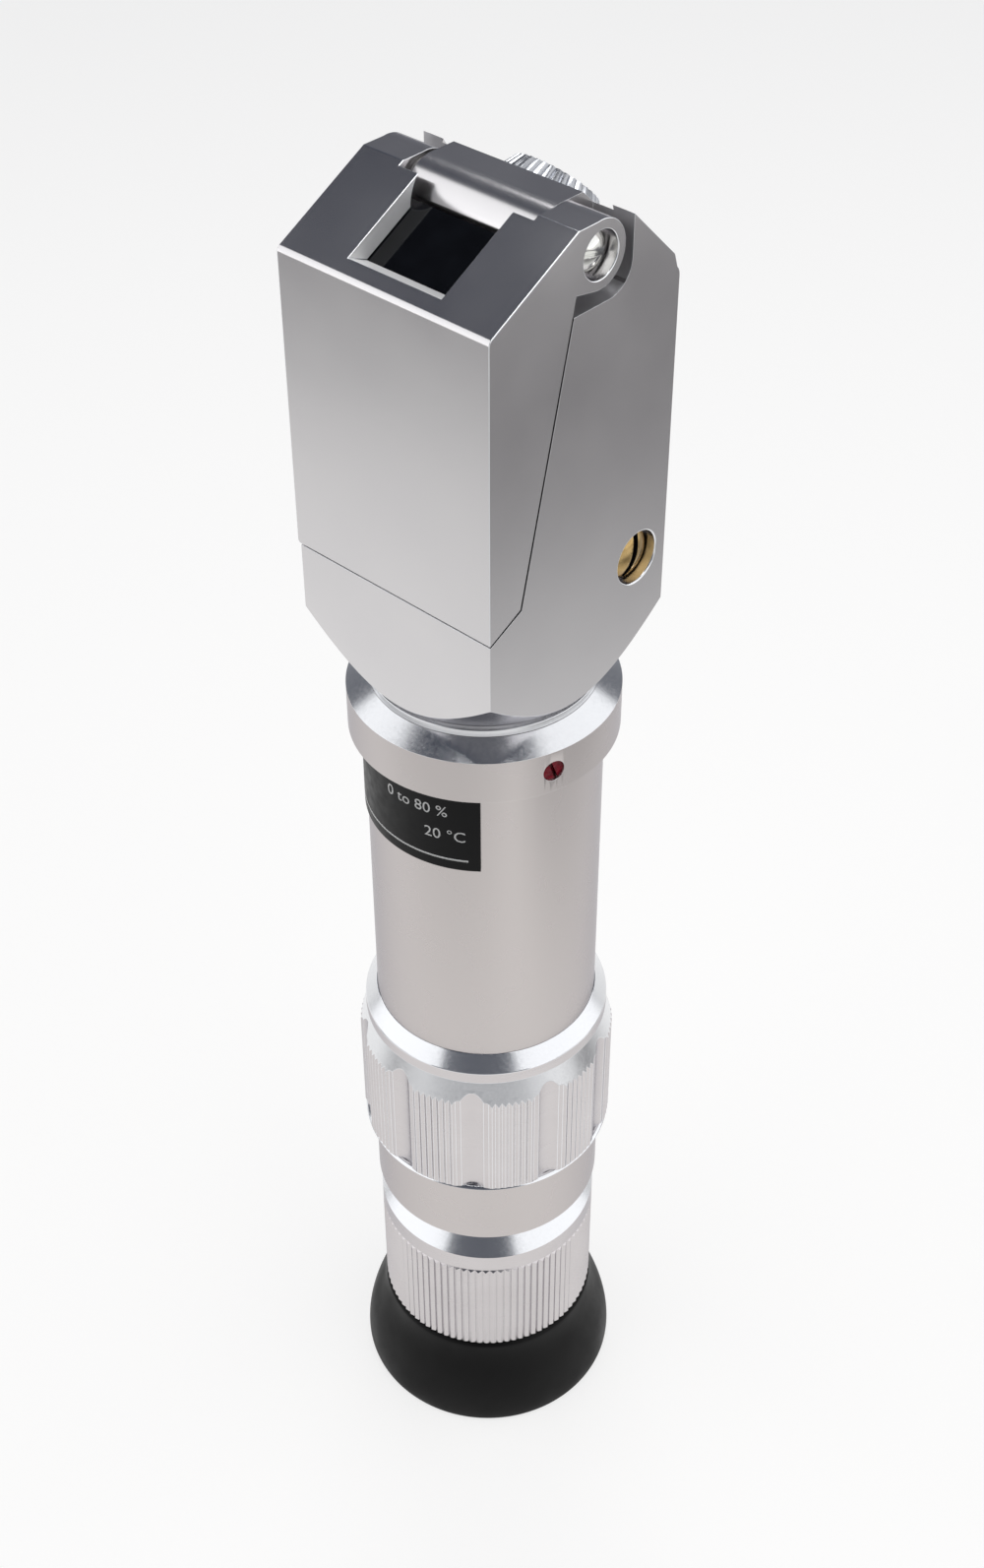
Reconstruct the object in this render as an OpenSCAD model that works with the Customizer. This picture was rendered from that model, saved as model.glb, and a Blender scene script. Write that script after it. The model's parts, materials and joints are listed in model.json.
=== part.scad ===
// Hand-held refractometer with a hinged prism cover, standing on its eyecup.
// Up is the optical axis, the origin is the centre of the eyecup's rim,
// the prism cover faces -Y and the knurled shutter knob sits at the back.

/* [Eyecup] */
// Radius of the eyecup's rim
cup_rim_r = 19.25; // [18:0.05:22]
// Radius of the eyecup where it meets the diopter ring
cup_top_r = 15.95; // [15.2:0.05:17]
// Height of the eyecup
cup_h = 15; // [13:0.1:20]
// Wall of the eyecup
cup_wall = 1.5; // [1:0.1:2.2]
// Height of the lip that grips the flange of the eye tube
cup_lip_h = 1; // [0.6:0.1:1.6]

/* [Diopter ring] */
// Outer radius of the diopter ring
diopter_r = 15.87; // [15.4:0.01:16.1]
// Length of the knurled part
diopter_knurl_h = 17.9; // [12:0.1:24]
// Height of the plain band above the knurl
diopter_band_h = 3.4; // [2:0.1:6]
// Height of the polished bevel
diopter_bevel_h = 2.3; // [1:0.1:2.5]
// Height of the neck above the bevel
diopter_neck_h = 2.1; // [1.5:0.1:4]
// Radius of the neck
diopter_neck_r = 13.9; // [13.7:0.05:14.6]
// Number of knurl ridges
diopter_teeth = 90; // [60:1:110]
// Depth of the knurl grooves
diopter_knurl_d = 0.32; // [0.15:0.01:0.5]
// Travel of the eye tube
diopter_travel = 2; // [1:0.1:2.5]

/* [Eyepiece barrel] */
// Outer radius of the barrel band
barrel_r = 16.15; // [15.6:0.05:17]
// Height of the barrel band
barrel_h = 12.3; // [10:0.1:16]
// Gap between the diopter ring and the barrel band
barrel_gap = 0.7; // [0.4:0.1:1.2]
// Wall of the sliding sleeve
sleeve_wall = 1.45; // [1.2:0.05:1.8]
// Length of the sleeve inside the main tube
sleeve_up = 29; // [26:0.5:32]
// Travel of the eyepiece
focus_travel = 4; // [2:0.1:5]

/* [Focus ring] */
// Outer radius of the focus ring
focus_r = 17.7; // [17.2:0.05:19]
// Length of the focus ring
focus_h = 21; // [19:0.1:24]
// Height of the polished chamfer on top
focus_top_bevel = 3.6; // [1:0.1:4.5]
// Width of the polished chamfer on top
focus_top_inset = 1.5; // [0.5:0.1:2]
// Chamfer at the bottom edge
focus_low_bevel = 0.5; // [0.2:0.05:0.8]
// Number of concave flutes
flute_count = 10; // [6:1:12]
// Width of one flute
flute_w = 4.2; // [2.5:0.1:5]
// Depth of one flute
flute_d = 0.85; // [0.4:0.05:1.2]
// Ridges on each land between flutes
land_teeth = 7; // [4:1:8]
// Angle between two ridges
land_pitch = 3; // [2.4:0.1:3.2]
// Depth of the grooves on the lands
land_knurl_d = 0.26; // [0.1:0.01:0.4]
// Turn of the flute pattern about the tube
flute_turn = -53.6; // [-180:0.1:180]

/* [Tube] */
// Outer radius of the main tube
tube_r = 15; // [14.8:0.05:16]
// Bore radius of the main tube
tube_bore_r = 12.95; // [12.8:0.05:13.2]
// Radius of the tube nose that carries the focus ring
nose_r = 14.4; // [14.2:0.05:14.6]
// Length of the main tube between end ring and collar
tube_len = 46; // [40:0.5:80]
// Outer radius of the tube end ring
end_ring_r = 16.73; // [16.2:0.05:17.5]
// Height of the straight part of the end ring
end_ring_h = 2; // [1.5:0.1:4]
// Height of the bevel on the end ring
end_ring_bevel = 2.2; // [1:0.1:3]

/* [Collar] */
// Outer radius of the collar
collar_r = 17; // [16.5:0.05:18.5]
// Height of the collar's straight band
collar_h = 6; // [5:0.1:9]
// Height of the collar's bevel
collar_bevel_h = 1.8; // [1:0.1:2.4]
// Radius of the light ring above the bevel
neck_r = 14.3; // [13.9:0.05:14.6]
// Height of the light ring
neck_h = 1; // [0.6:0.1:2]
// Radius of the lacquered set screw
lock_screw_r = 1.4; // [1:0.05:1.8]
// Direction of the set screw about the tube
lock_screw_turn = -17.9; // [-180:0.1:180]

/* [Label plate] */
// Height of the label plate
label_h = 12.3; // [8:0.1:20]
// Thickness of the label plate
label_t = 0.35; // [0.2:0.05:0.6]
// Angle that the plate covers
label_span = 112; // [60:1:200]
// Direction of the plate's right edge
label_edge = -48.9; // [-180:0.1:180]

/* [Head] */
// Width of the square head
head_w = 30; // [30:0.1:34]
// Gap between the light ring and the head
head_gap = 0.95; // [0.4:0.05:1.5]
// Radius of the turned lower end of the head
head_turn_r = 14.7; // [13.6:0.1:14.9]
// Rise of the turned chamfer for each millimetre of radius
head_turn_slope = 1.13; // [0.8:0.01:1.4]
// Height from the head's lower end to the cover's front lower edge
cover_foot_h = 16.17; // [15.8:0.01:19]
// Depth of the ledge under the cover
ledge_d = 5.14; // [4:0.05:6]
// Rise of the ledge under the cover
ledge_rise = 2.43; // [1.5:0.05:3]
// Lean of the sample plane from upright
sample_lean = 13.25; // [11:0.05:14.5]
// Height of the hinge axis over the cover's front lower edge
hinge_h = 40.45; // [39.5:0.05:43]
// Distance of the hinge axis behind the head's front
hinge_in = 16.8; // [16.2:0.05:17.4]
// Wall at the back of the head
head_wall = 2.4; // [2:0.1:3]
// Side walls of the cavity in the head
side_wall = 4.6; // [4:0.1:5]
// Distance of the sloping back face from the hinge axis
slope_off = 5.55; // [5.3:0.01:6]
// Depth of the turned recess in the sloping face
slope_recess_d = 0.35; // [0.2:0.01:0.6]
// Radius of the turned recess in the sloping face
slope_recess_r = 13.2; // [10:0.1:14]

/* [Cover] */
// Height of the cover's front face
cover_front_h = 37.25; // [35:0.05:40]
// Rounding of the hinge knuckle and flat top above the hinge axis
knuckle_r = 3.86; // [3.5:0.01:4.2]
// Angle of the cover's sloping top
cover_slope = 28; // [24:0.1:32]
// Thickness of an ear of the cover
ear_t = 5.5; // [5:0.1:6]
// Amount by which the cover stands proud on the left side
cover_proud = 0.5; // [0:0.05:0.8]
// Gap between cover and head
parting_gap = 0.2; // [0.1:0.01:0.3]
// Radius that clears the knuckle
notch_r = 5.45; // [5.4:0.01:5.7]
// Width of the cover beside the light window
window_border = 8.34; // [8:0.01:10]
// Start of the light window along the slope
window_start = 2.2; // [1.5:0.1:4]
// Depth of the glass under the slope
window_depth = 2.47; // [1.5:0.05:3]
// How far the glass reaches into the notch towards the knuckle
glass_nose = 0.92; // [0.6:0.01:1]
// Side walls of the cover beside the illuminating prism
cover_cheek = 6.8; // [6.4:0.1:7.6]
// Front wall of the cover
cover_wall = 2.1; // [1.5:0.1:3]

/* [Hinge] */
// Radius of the hinge screw's shank
hinge_pin_r = 1.5; // [1.2:0.05:1.8]
// Radius of the hinge screw's head
hinge_head_r = 2.3; // [2:0.05:2.5]
// Radius of the counterbore in the ear
hinge_bore_r = 2.7; // [2.6:0.05:3]
// Depth of the counterbore in the ear
hinge_bore_d = 2.3; // [1.8:0.1:3]
// Turn of the hinge screws' slots from level
hinge_slot_turn = -12; // [-90:1:90]
// Width of the hinge screws' slots
hinge_slot_w = 0.7; // [0.4:0.05:0.9]
// Thickness of the spring washer on the left
washer_t = 0.45; // [0.3:0.05:0.5]

/* [Measuring prism] */
// Room at each side of the measuring prism
prism_side = 3.1; // [2.8:0.1:3.9]
// Length of the sample face
prism_len = 21.6; // [18:0.1:23]
// Depth of the measuring prism behind the sample face
prism_depth = 8.9; // [7:0.1:9.5]
// Width of the seal round the prism
seal_w = 0.6; // [0.4:0.05:0.8]
// Land beside the prism carrier's plate
carrier_land = 3.4; // [2.8:0.1:3.8]
// Gap between the carrier's cheeks and the cavity's walls
cheek_gap = 1.1; // [0.8:0.1:1.4]
// Height of the measuring prism's end face
prism_end = 7.3; // [6:0.1:9]
// Thickness of the measuring prism at its lower edge
prism_foot = 1.6; // [1.2:0.1:2]
// Thickness of the prism carrier's plate
carrier_t = 2.2; // [1.6:0.1:2.6]
// Width of the carrier's border beyond the prism window
carrier_border = 2.7; // [2.4:0.1:3]
// Radius of the carrier screws' heads
carrier_screw_r = 1.1; // [0.8:0.05:1.15]

/* [Shutter] */
// Radius of the shutter knob at its base
knob_r = 6.3; // [5.8:0.05:6.8]
// Radius of the shutter knob at its top
knob_top_r = 5.2; // [4.9:0.05:6]
// Height of the shutter knob
knob_h = 1.95; // [1.6:0.05:3]
// Number of knurl ridges on the knob
knob_teeth = 36; // [24:1:48]
// Depth of the knurl on the knob
knob_knurl_d = 0.3; // [0.15:0.01:0.4]
// Distance of the knob's axis from the slope's upper edge
knob_s = 7.45; // [7:0.05:8]
// Outer radius of the window frame under the knob
frame_r = 4.7; // [4.4:0.05:5]
// Thickness of the window frame
frame_t = 2; // [1.6:0.1:3]
// Outer radius of the shutter openings
port_r = 3.6; // [3:0.05:3.9]
// Radius of the middle boss between the openings
port_hub_r = 1.7; // [1.5:0.05:2]
// Thickness of the window glass
pane_t = 1; // [0.6:0.1:1.5]

/* [Zero adjuster] */
// Height of the zero screw above the head's lower end
zero_h = 15.52; // [15.3:0.01:15.8]
// Distance of the zero screw from the head's back
zero_in = 4.95; // [4.9:0.05:5.4]
// Radius of the zero screw's head
zero_head_r = 3.1; // [2.6:0.05:3.2]
// Radius of the dome of the zero screw's head
zero_dome_r = 5.2; // [4.5:0.1:8]
// Turn of the zero screw's slot from upright
zero_slot_turn = 19; // [-90:1:90]
// Width of the zero screw's slot
zero_slot_w = 0.9; // [0.5:0.05:1.2]
// Depth of the slot's floor below the head's face
zero_slot_d = 1.9; // [1.5:0.05:1.9]
// Radius of the zero screw's shank
zero_pin_r = 2; // [1.6:0.05:2.1]
// Offset of the eccentric pin
zero_ecc = 0.8; // [0.4:0.05:0.9]
// Distance of the tilting cell's rim from the head's faces
cell_in = 8; // [7.9:0.05:8.6]
// Thickness of the tilting cell
cell_t = 2.6; // [2:0.1:3]

/* [Optics] */
// Radius of the objective lenses
objective_r = 9.3; // [8:0.1:9.6]
// Distance between the two eye lenses
lens_pitch = 9.2; // [8.8:0.1:9.6]
// Gap between the sleeve's top and the reticle cell
reticle_gap = 5; // [4.5:0.1:6]
// Distance of the light baffle below the collar
baffle_drop = 16; // [12:0.5:20]
// Length of the light baffle
baffle_h = 4; // [3:0.5:6]
// Wall of the light baffle
baffle_t = 1.2; // [0.8:0.1:1.6]
// Radius of the hole in the light baffle
baffle_hole_r = 8.2; // [7:0.1:9]
// Radius of the reticle glass
reticle_r = 9.8; // [8.5:0.1:10.4]
// Radius of the field lens
field_lens_r = 10; // [8.5:0.1:10.3]
// Radius of the eye lens
eye_lens_r = 9; // [8:0.1:9.2]

/* [Clearances] */
// Radial clearance of parts that turn or slide
run_gap = 0.05; // [0.03:0.01:0.1]
// Clearance of parts that are screwed or pressed together
fit_gap = 0.03; // [0.01:0.01:0.05]
// Axial gap between parts that turn against each other
face_gap = 0.2; // [0.1:0.01:0.4]

/* [Hidden] */
$fn = 72;
eps = 0.01;

// Heights of the stack, from the eyecup's rim upwards
diopter_z = cup_h + 0.3;
knurl_top_z = diopter_z + diopter_knurl_h;
band_top_z = knurl_top_z + diopter_band_h;
diopter_top_z = band_top_z + diopter_bevel_h + diopter_neck_h;
barrel_z = diopter_top_z + barrel_gap;
barrel_top_z = barrel_z + barrel_h;
focus_z = barrel_top_z + face_gap;
focus_top_z = focus_z + focus_h;
end_ring_z = focus_top_z + face_gap;
nose_top_z = end_ring_z + end_ring_h + end_ring_bevel;
collar_z = nose_top_z + tube_len;
collar_top_z = collar_z + collar_h;
baffle_z = collar_z - baffle_drop;
neck_z = collar_top_z + collar_bevel_h + fit_gap;
head_z = neck_z + neck_h + head_gap;

// Radii of the telescoping eyepiece
sleeve_r = tube_bore_r - run_gap;
eye_tube_r = sleeve_r - sleeve_wall - run_gap;
eye_tube_wall = 1.3;
flange_r = cup_top_r - 1.5;
flange_t = 2;
flange_z = cup_h - cup_lip_h - fit_gap - flange_t;
retainer_t = 1.7;
diopter_pin_z = diopter_z + 16.5;
diopter_retainer_z = diopter_z + retainer_t + diopter_travel + 1.3;
pin_z = focus_z + 15;
focus_retainer_off = 2.6;
reticle_z = barrel_top_z + sleeve_up + reticle_gap;
neck_grip = 4;
cell_wall = 2.1;

// The head's outline, as points in the YZ plane
half = head_w / 2;
hinge_y = hinge_in - half;
ear_x = half - ear_t;
cavity_hw = half - side_wall;
window_hw = half - window_border;
lit_prism_hw = half - cover_cheek;
prism_hw = cavity_hw - prism_side;
carrier_hw = half - carrier_land;
cheek_x = cavity_hw - cheek_gap;
foot_z = head_z + cover_foot_h;
part_y = -half + ledge_d;
part_z = foot_z + ledge_rise;
hinge_z = foot_z + hinge_h;
top_z = hinge_z + knuckle_r;
slope_sum = hinge_y + hinge_z + slope_off * sqrt(2);
recess_sum = slope_sum - slope_recess_d * sqrt(2);
pocket_y = hinge_y + 5.12;
pocket_z = hinge_z - 5.5;
pocket_corner = 3.6;
knuckle_right = ear_x - 0.1;
knuckle_left = -ear_x + washer_t + 0.15;
cavity_back = half - head_wall;
cavity_top = pocket_z - 2.6;

// The cover's outline
cover_top_y = -half + (top_z - foot_z - cover_front_h) / tan(cover_slope);
slope_start = [-half, foot_z + cover_front_h];
ear_r = knuckle_r + 0.04;

// Places on the sample plane, measured up from its lower edge
prism_u = 5.7;
carrier_u = prism_u - seal_w - carrier_border;
carrier_len = prism_len + 2 * (seal_w + carrier_border);

// The shutter's axis, square to the recess in the sloping face
knob_y = recess_sum - top_z + knob_s / sqrt(2);
knob_z = top_z - knob_s / sqrt(2);

// The zero adjuster
zero_z = head_z + zero_h;
zero_y = half - zero_in;
zero_thread_x = cavity_hw + 2.2;
cell_r = half - cell_in;
arm_x = cell_r - 3.6;
arm_w = 2.8;

// Ring between two radii, standing on height z
module ring(r_out, r_in, z, h) {
    translate([0, 0, z])
        difference() {
            cylinder(r = r_out, h = h);
            translate([0, 0, -1])
                cylinder(r = r_in, h = h + 2);
        }
}

// Solid of revolution from a profile of radius and height points
module turned(points) {
    rotate_extrude()
        polygon(points);
}

// Height of a lens face over its rim plane at a radius; bow is its rise in the middle
function lens_rise(r, q, bow) =
    bow == 0 ? 0 : let (ball = (r * r + bow * bow) / (2 * abs(bow)))
        sign(bow) * (sqrt(ball * ball - q * q) - ball + abs(bow));

// Lens with two curved faces between rim heights; the bows are the rises of its faces
module lens(r, rim, bow_low, bow_high, z) {
    steps = 10;
    turned(concat(
        [for (i = [0 : steps]) [r * i / steps, z - lens_rise(r, r * i / steps, bow_low)]],
        [for (i = [steps : -1 : 0]) [r * i / steps, z + rim + lens_rise(r, r * i / steps, bow_high)]]
    ));
}

// Straight prism of a YZ outline between two x positions
module yz_block(points, x0, x1) {
    translate([x0, 0, 0])
        rotate([90, 0, 90])
            linear_extrude(height = x1 - x0)
                polygon(points);
}

// Cylinder along X
module x_rod(r, x0, x1, y, z) {
    translate([x0, y, z])
        rotate([0, 90, 0])
            cylinder(r = r, h = x1 - x0);
}

// Outline of a knurled circle with straight V grooves
function knurl_points(count, r, depth) = [
    for (i = [0 : 2 * count - 1])
        let (a = i * 180 / count, q = (i % 2 == 0) ? r : r - depth)
            [q * cos(a), q * sin(a)]
];

// Outline of the focus ring with a knurled land between flutes
function land_points() = [
    for (k = [0 : flute_count - 1], j = [-land_teeth : land_teeth])
        let (mid = flute_turn + (k + 0.5) * 360 / flute_count, a = mid + j * land_pitch / 2,
            q = ((j + land_teeth) % 2 == 0) ? focus_r - land_knurl_d : focus_r)
            [q * cos(a), q * sin(a)]
];

// Puts its children on the sample plane: X across, Z up the plane, Y into the head
module on_sample_plane() {
    translate([0, part_y, part_z])
        rotate([-sample_lean, 0, 0])
            children();
}

// Puts its children on the sloping back face, Z along the shutter's axis
module on_slope() {
    translate([0, knob_y, knob_z])
        rotate([-45, 0, 0])
            children();
}

// Pie slices for the two light ports
module ports(r_out, r_in, h) {
    for (side = [0, 180])
        rotate([0, 0, side])
            intersection() {
                difference() {
                    cylinder(r = r_out, h = h);
                    translate([0, 0, -1])
                        cylinder(r = r_in, h = h + 2);
                }
                rotate([0, 0, -40])
                    translate([0, 0, -1])
                        cube([2 * r_out, 2 * r_out, h + 2]);
                rotate([0, 0, -50])
                    translate([0, 0, -1])
                        cube([2 * r_out, 2 * r_out, h + 2]);
            }
}

// Eyecup: rubber bell that carries the instrument when it stands
module eyecup() {
    color("#1c1a1b")
        turned([
            [cup_rim_r - cup_wall, 0],
            [cup_rim_r - 0.5, 0],
            [cup_rim_r - 0.15, 0.35],
            [cup_rim_r, 1.2],
            [cup_rim_r - 0.12, 3.2],
            [cup_rim_r - 0.65, 5.8],
            [cup_rim_r - 1.55, 8.6],
            [cup_top_r + 0.75, 11.2],
            [cup_top_r + 0.2, 13.2],
            [cup_top_r, cup_h],
            [eye_tube_r + 0.6, cup_h],
            [eye_tube_r + 0.6, cup_h - cup_lip_h],
            [flange_r + fit_gap, cup_h - cup_lip_h],
            [flange_r + fit_gap, flange_z - fit_gap],
            [flange_r - 1, flange_z - fit_gap],
            [flange_r - 1, flange_z - 1.2],
            [cup_top_r - cup_wall + 0.4, flange_z - 2.6],
            [cup_rim_r - cup_wall - 1.4, 6],
            [cup_rim_r - cup_wall - 0.35, 2.6]
        ]);
}

// Eye tube: carries the eye lenses and slides in the barrel
module eye_tube() {
    bore = eye_tube_r - eye_tube_wall;
    color("#1d1d1f")
        difference() {
            turned([
                [eye_lens_r + fit_gap, flange_z],
                [flange_r, flange_z],
                [flange_r, flange_z + flange_t],
                [eye_tube_r, flange_z + flange_t],
                [eye_tube_r, barrel_z + 4.5],
                [bore, barrel_z + 4.5],
                [bore, flange_z + 15.2],
                [eye_lens_r + fit_gap, flange_z + 15.2]
            ]);
            diopter_pin_hole();
        }
}

module diopter_pin_hole() {
    translate([0, 0, diopter_pin_z])
        rotate([0, 90, 0])
            cylinder(r = 0.9, h = 30);
}

// Eye lens: the lens next to the eye
module eye_lens() {
    color("#a8c4cc", 0.4)
        lens(eye_lens_r, 1.7, 0.5, 1.9, flange_z + 2.15);
}

// Inner eye lens
module inner_eye_lens() {
    color("#a8c4cc", 0.4)
        lens(eye_lens_r, 1.7, 1.9, 0.5, flange_z + 2.15 + lens_pitch);
}

// Spacer between the two eye lenses
module lens_spacer() {
    color("#1d1d1f")
        turned([
            [eye_lens_r - 0.8, flange_z + 4.3],
            [eye_lens_r - fit_gap, flange_z + 3.9],
            [eye_lens_r - fit_gap, flange_z + 11.3],
            [eye_lens_r - 0.8, flange_z + 10.9]
        ]);
}

// Threaded ring that holds the eye lens from outside
module eye_lens_retainer() {
    color("#1d1d1f")
        ring(eye_lens_r - fit_gap, eye_lens_r - 1.6, flange_z + 0.3, 1.62);
}

// Pin that guides the eye tube and is driven by the diopter ring
module diopter_pin() {
    color("#b5a050")
        translate([eye_tube_r - eye_tube_wall, 0, diopter_pin_z])
            rotate([0, 90, 0])
                cylinder(r = 0.9 - fit_gap, h = eye_tube_wall + sleeve_wall + 0.8);
}

// Diopter ring: knurled sleeve that turns on the barrel's lower sleeve
module diopter_ring() {
    bore = sleeve_r + run_gap;
    relief = sleeve_r + 1.35;
    color("#cfcac9")
        difference() {
            union() {
                intersection() {
                    translate([0, 0, diopter_z])
                        linear_extrude(height = diopter_knurl_h)
                            polygon(knurl_points(diopter_teeth, diopter_r, diopter_knurl_d));
                    turned([
                        [0, diopter_z],
                        [diopter_r - diopter_knurl_d, diopter_z],
                        [diopter_r + 0.01, diopter_z + diopter_knurl_d],
                        [diopter_r + 0.01, knurl_top_z - diopter_knurl_d],
                        [diopter_r - diopter_knurl_d, knurl_top_z],
                        [0, knurl_top_z]
                    ]);
                }
                turned([
                    [0, knurl_top_z - 1],
                    [diopter_r - 0.4, knurl_top_z - 1],
                    [diopter_r - 0.4, knurl_top_z + 0.25],
                    [diopter_r, knurl_top_z + 0.45],
                    [diopter_r, band_top_z],
                    [diopter_neck_r, band_top_z + diopter_bevel_h],
                    [diopter_neck_r, diopter_top_z],
                    [0, diopter_top_z]
                ]);
            }
            translate([0, 0, diopter_z - 1])
                cylinder(r = bore, h = diopter_top_z - diopter_z + 2);
            translate([0, 0, diopter_z - 1])
                cylinder(r = sleeve_r + 1.75, h = 1 + 2 * retainer_t + diopter_travel + 1.4);
            translate([0, 0, diopter_pin_z - diopter_travel - 1.2])
                cylinder(r = relief, h = diopter_travel + 2.4);
        }
}

// Threaded ring that keeps the diopter ring on the sleeve
module diopter_retainer() {
    color("#9a9a9c")
        ring(sleeve_r + 1.6, sleeve_r + fit_gap, diopter_retainer_z, retainer_t);
}

// Eyepiece barrel: plain band with a sleeve that slides in the main tube
module eyepiece_barrel() {
    color("#cfcac9")
        difference() {
            turned([
                [eye_tube_r + run_gap, diopter_retainer_z],
                [sleeve_r, diopter_retainer_z],
                [sleeve_r, barrel_z],
                [barrel_r - 0.15, barrel_z],
                [barrel_r, barrel_z + 0.15],
                [barrel_r, barrel_top_z - 0.15],
                [barrel_r - 0.15, barrel_top_z],
                [sleeve_r, barrel_top_z],
                [sleeve_r, barrel_top_z + sleeve_up],
                [field_lens_r + fit_gap, barrel_top_z + sleeve_up],
                [field_lens_r + fit_gap, barrel_top_z + sleeve_up - 6.4],
                [field_lens_r - 0.8, barrel_top_z + sleeve_up - 6.4],
                [field_lens_r - 0.8, barrel_top_z + sleeve_up - 8],
                [eye_tube_r + run_gap, barrel_top_z + sleeve_up - 9.5]
            ]);
            translate([0, -0.9 - run_gap, diopter_pin_z - diopter_travel])
                cube([sleeve_r + 0.2, 1.8 + 2 * run_gap, diopter_travel]);
            for (low = [0, diopter_travel])
                translate([0, 0, diopter_pin_z - low])
                    rotate([0, 90, 0])
                        cylinder(r = 0.9 + run_gap, h = sleeve_r + 0.2);
            for (side = [0, 180])
                rotate([0, 0, side])
                    translate([0, 0, pin_z])
                        rotate([0, 90, 0])
                            cylinder(r = 1, h = 20);
        }
}

// Field lens at the upper end of the sleeve
module field_lens() {
    color("#a8c4cc", 0.4)
        lens(field_lens_r, 1.8, 0.5, 1.5, barrel_top_z + sleeve_up - 5.85);
}

// Threaded ring above the field lens
module field_lens_retainer() {
    color("#1d1d1f")
        ring(field_lens_r - fit_gap, field_lens_r - 1.5, barrel_top_z + sleeve_up - 3.55, 2.2);
}

// Two pins that guide the barrel in the slots of the main tube
module focus_pins() {
    color("#b5a050")
        for (side = [0, 180])
            rotate([0, 0, side])
                translate([sleeve_r - sleeve_wall, 0, pin_z])
                    rotate([0, 90, 0])
                        cylinder(r = 1 - fit_gap, h = nose_r - sleeve_r + sleeve_wall + 0.9);
}

// Focus ring: fluted ring with knurled lands, turning on the tube's nose
module focus_ring() {
    flute_r = (flute_w * flute_w / 4 + flute_d * flute_d) / (2 * flute_d);
    color("#cfcac9")
        difference() {
            intersection() {
                translate([0, 0, focus_z])
                    linear_extrude(height = focus_h)
                        polygon(land_points());
                turned([
                    [0, focus_z],
                    [focus_r - focus_low_bevel, focus_z],
                    [focus_r + 0.01, focus_z + focus_low_bevel],
                    [focus_r + 0.01, focus_top_z - focus_top_bevel],
                    [focus_r - focus_top_inset, focus_top_z],
                    [0, focus_top_z]
                ]);
            }
            for (k = [0 : flute_count - 1])
                rotate([0, 0, flute_turn + k * 360 / flute_count])
                    translate([focus_r - flute_d + flute_r, 0, focus_z - 1])
                        cylinder(r = flute_r, h = focus_h + 2);
            translate([0, 0, focus_z - 1])
                cylinder(r = nose_r + run_gap, h = focus_h + 2);
            translate([0, 0, focus_z - 1])
                cylinder(r = nose_r + 1.3, h = 1 + focus_retainer_off + retainer_t + 0.1);
            translate([0, 0, pin_z - focus_travel - 1.3])
                cylinder(r = nose_r + 1.1, h = focus_travel + 2.6);
        }
}

// Threaded ring that keeps the focus ring on the tube's nose
module focus_retainer() {
    color("#9a9a9c")
        ring(nose_r + 1.15, nose_r + fit_gap, focus_z + focus_retainer_off, retainer_t);
}

// Main tube with its turned-down nose and two guide slots
module main_tube() {
    nose_z = focus_z + focus_retainer_off - 0.3;
    color("#d0cbca")
        difference() {
            turned([
                [tube_bore_r, nose_z],
                [nose_r, nose_z],
                [nose_r, nose_top_z],
                [tube_r, nose_top_z],
                [tube_r, collar_top_z - 0.6],
                [tube_bore_r, collar_top_z - 0.6]
            ]);
            for (side = [0, 180])
                rotate([0, 0, side]) {
                    translate([0, -1 - run_gap, pin_z - focus_travel])
                        cube([nose_r + 1, 2 + 2 * run_gap, focus_travel]);
                    for (low = [0, focus_travel])
                        translate([0, 0, pin_z - low])
                            rotate([0, 90, 0])
                                cylinder(r = 1 + run_gap, h = nose_r + 1);
                }
            lock_screw_hole(lock_screw_r + fit_gap);
        }
}

// End ring that closes the main tube above the focus ring
module tube_end_ring() {
    color("#c9c5c4")
        turned([
            [nose_r + fit_gap, end_ring_z],
            [end_ring_r - 0.2, end_ring_z],
            [end_ring_r, end_ring_z + 0.2],
            [end_ring_r, end_ring_z + end_ring_h],
            [tube_r + 0.05, nose_top_z - fit_gap],
            [nose_r + fit_gap, nose_top_z - fit_gap]
        ]);
}

// Cell that holds the reticle in the main tube
module reticle_cell() {
    color("#1d1d1f")
        turned([
            [reticle_r - 1, reticle_z],
            [tube_bore_r - fit_gap, reticle_z],
            [tube_bore_r - fit_gap, reticle_z + 7],
            [reticle_r + fit_gap, reticle_z + 7],
            [reticle_r + fit_gap, reticle_z + 1.6],
            [reticle_r - 1, reticle_z + 1.6]
        ]);
}

// Reticle: glass disc with the percent scale
module reticle() {
    color("#dfe8ea", 0.5)
        translate([0, 0, reticle_z + 1.6 + fit_gap])
            cylinder(r = reticle_r, h = 1.8);
}

// Threaded ring above the reticle
module reticle_retainer() {
    color("#1d1d1f")
        ring(reticle_r - fit_gap, reticle_r - 1.2, reticle_z + 3.6, 1.8);
}

// Baffle that stops stray light in the tube
module light_baffle() {
    color("#1d1d1f")
        turned([
            [baffle_hole_r, baffle_z],
            [tube_bore_r - fit_gap, baffle_z],
            [tube_bore_r - fit_gap, baffle_z + baffle_h],
            [tube_bore_r - fit_gap - baffle_t, baffle_z + baffle_h],
            [tube_bore_r - fit_gap - baffle_t, baffle_z + baffle_t],
            [baffle_hole_r, baffle_z + baffle_t]
        ]);
}

// Label plate: thin black plate bent round the tube under the collar
module label_plate() {
    color("#242326")
        translate([0, 0, collar_z - 0.3 - label_h])
            rotate([0, 0, label_edge - label_span])
                rotate_extrude(angle = label_span)
                    translate([tube_r + 0.02, 0])
                        square([label_t, label_h]);
}

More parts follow.
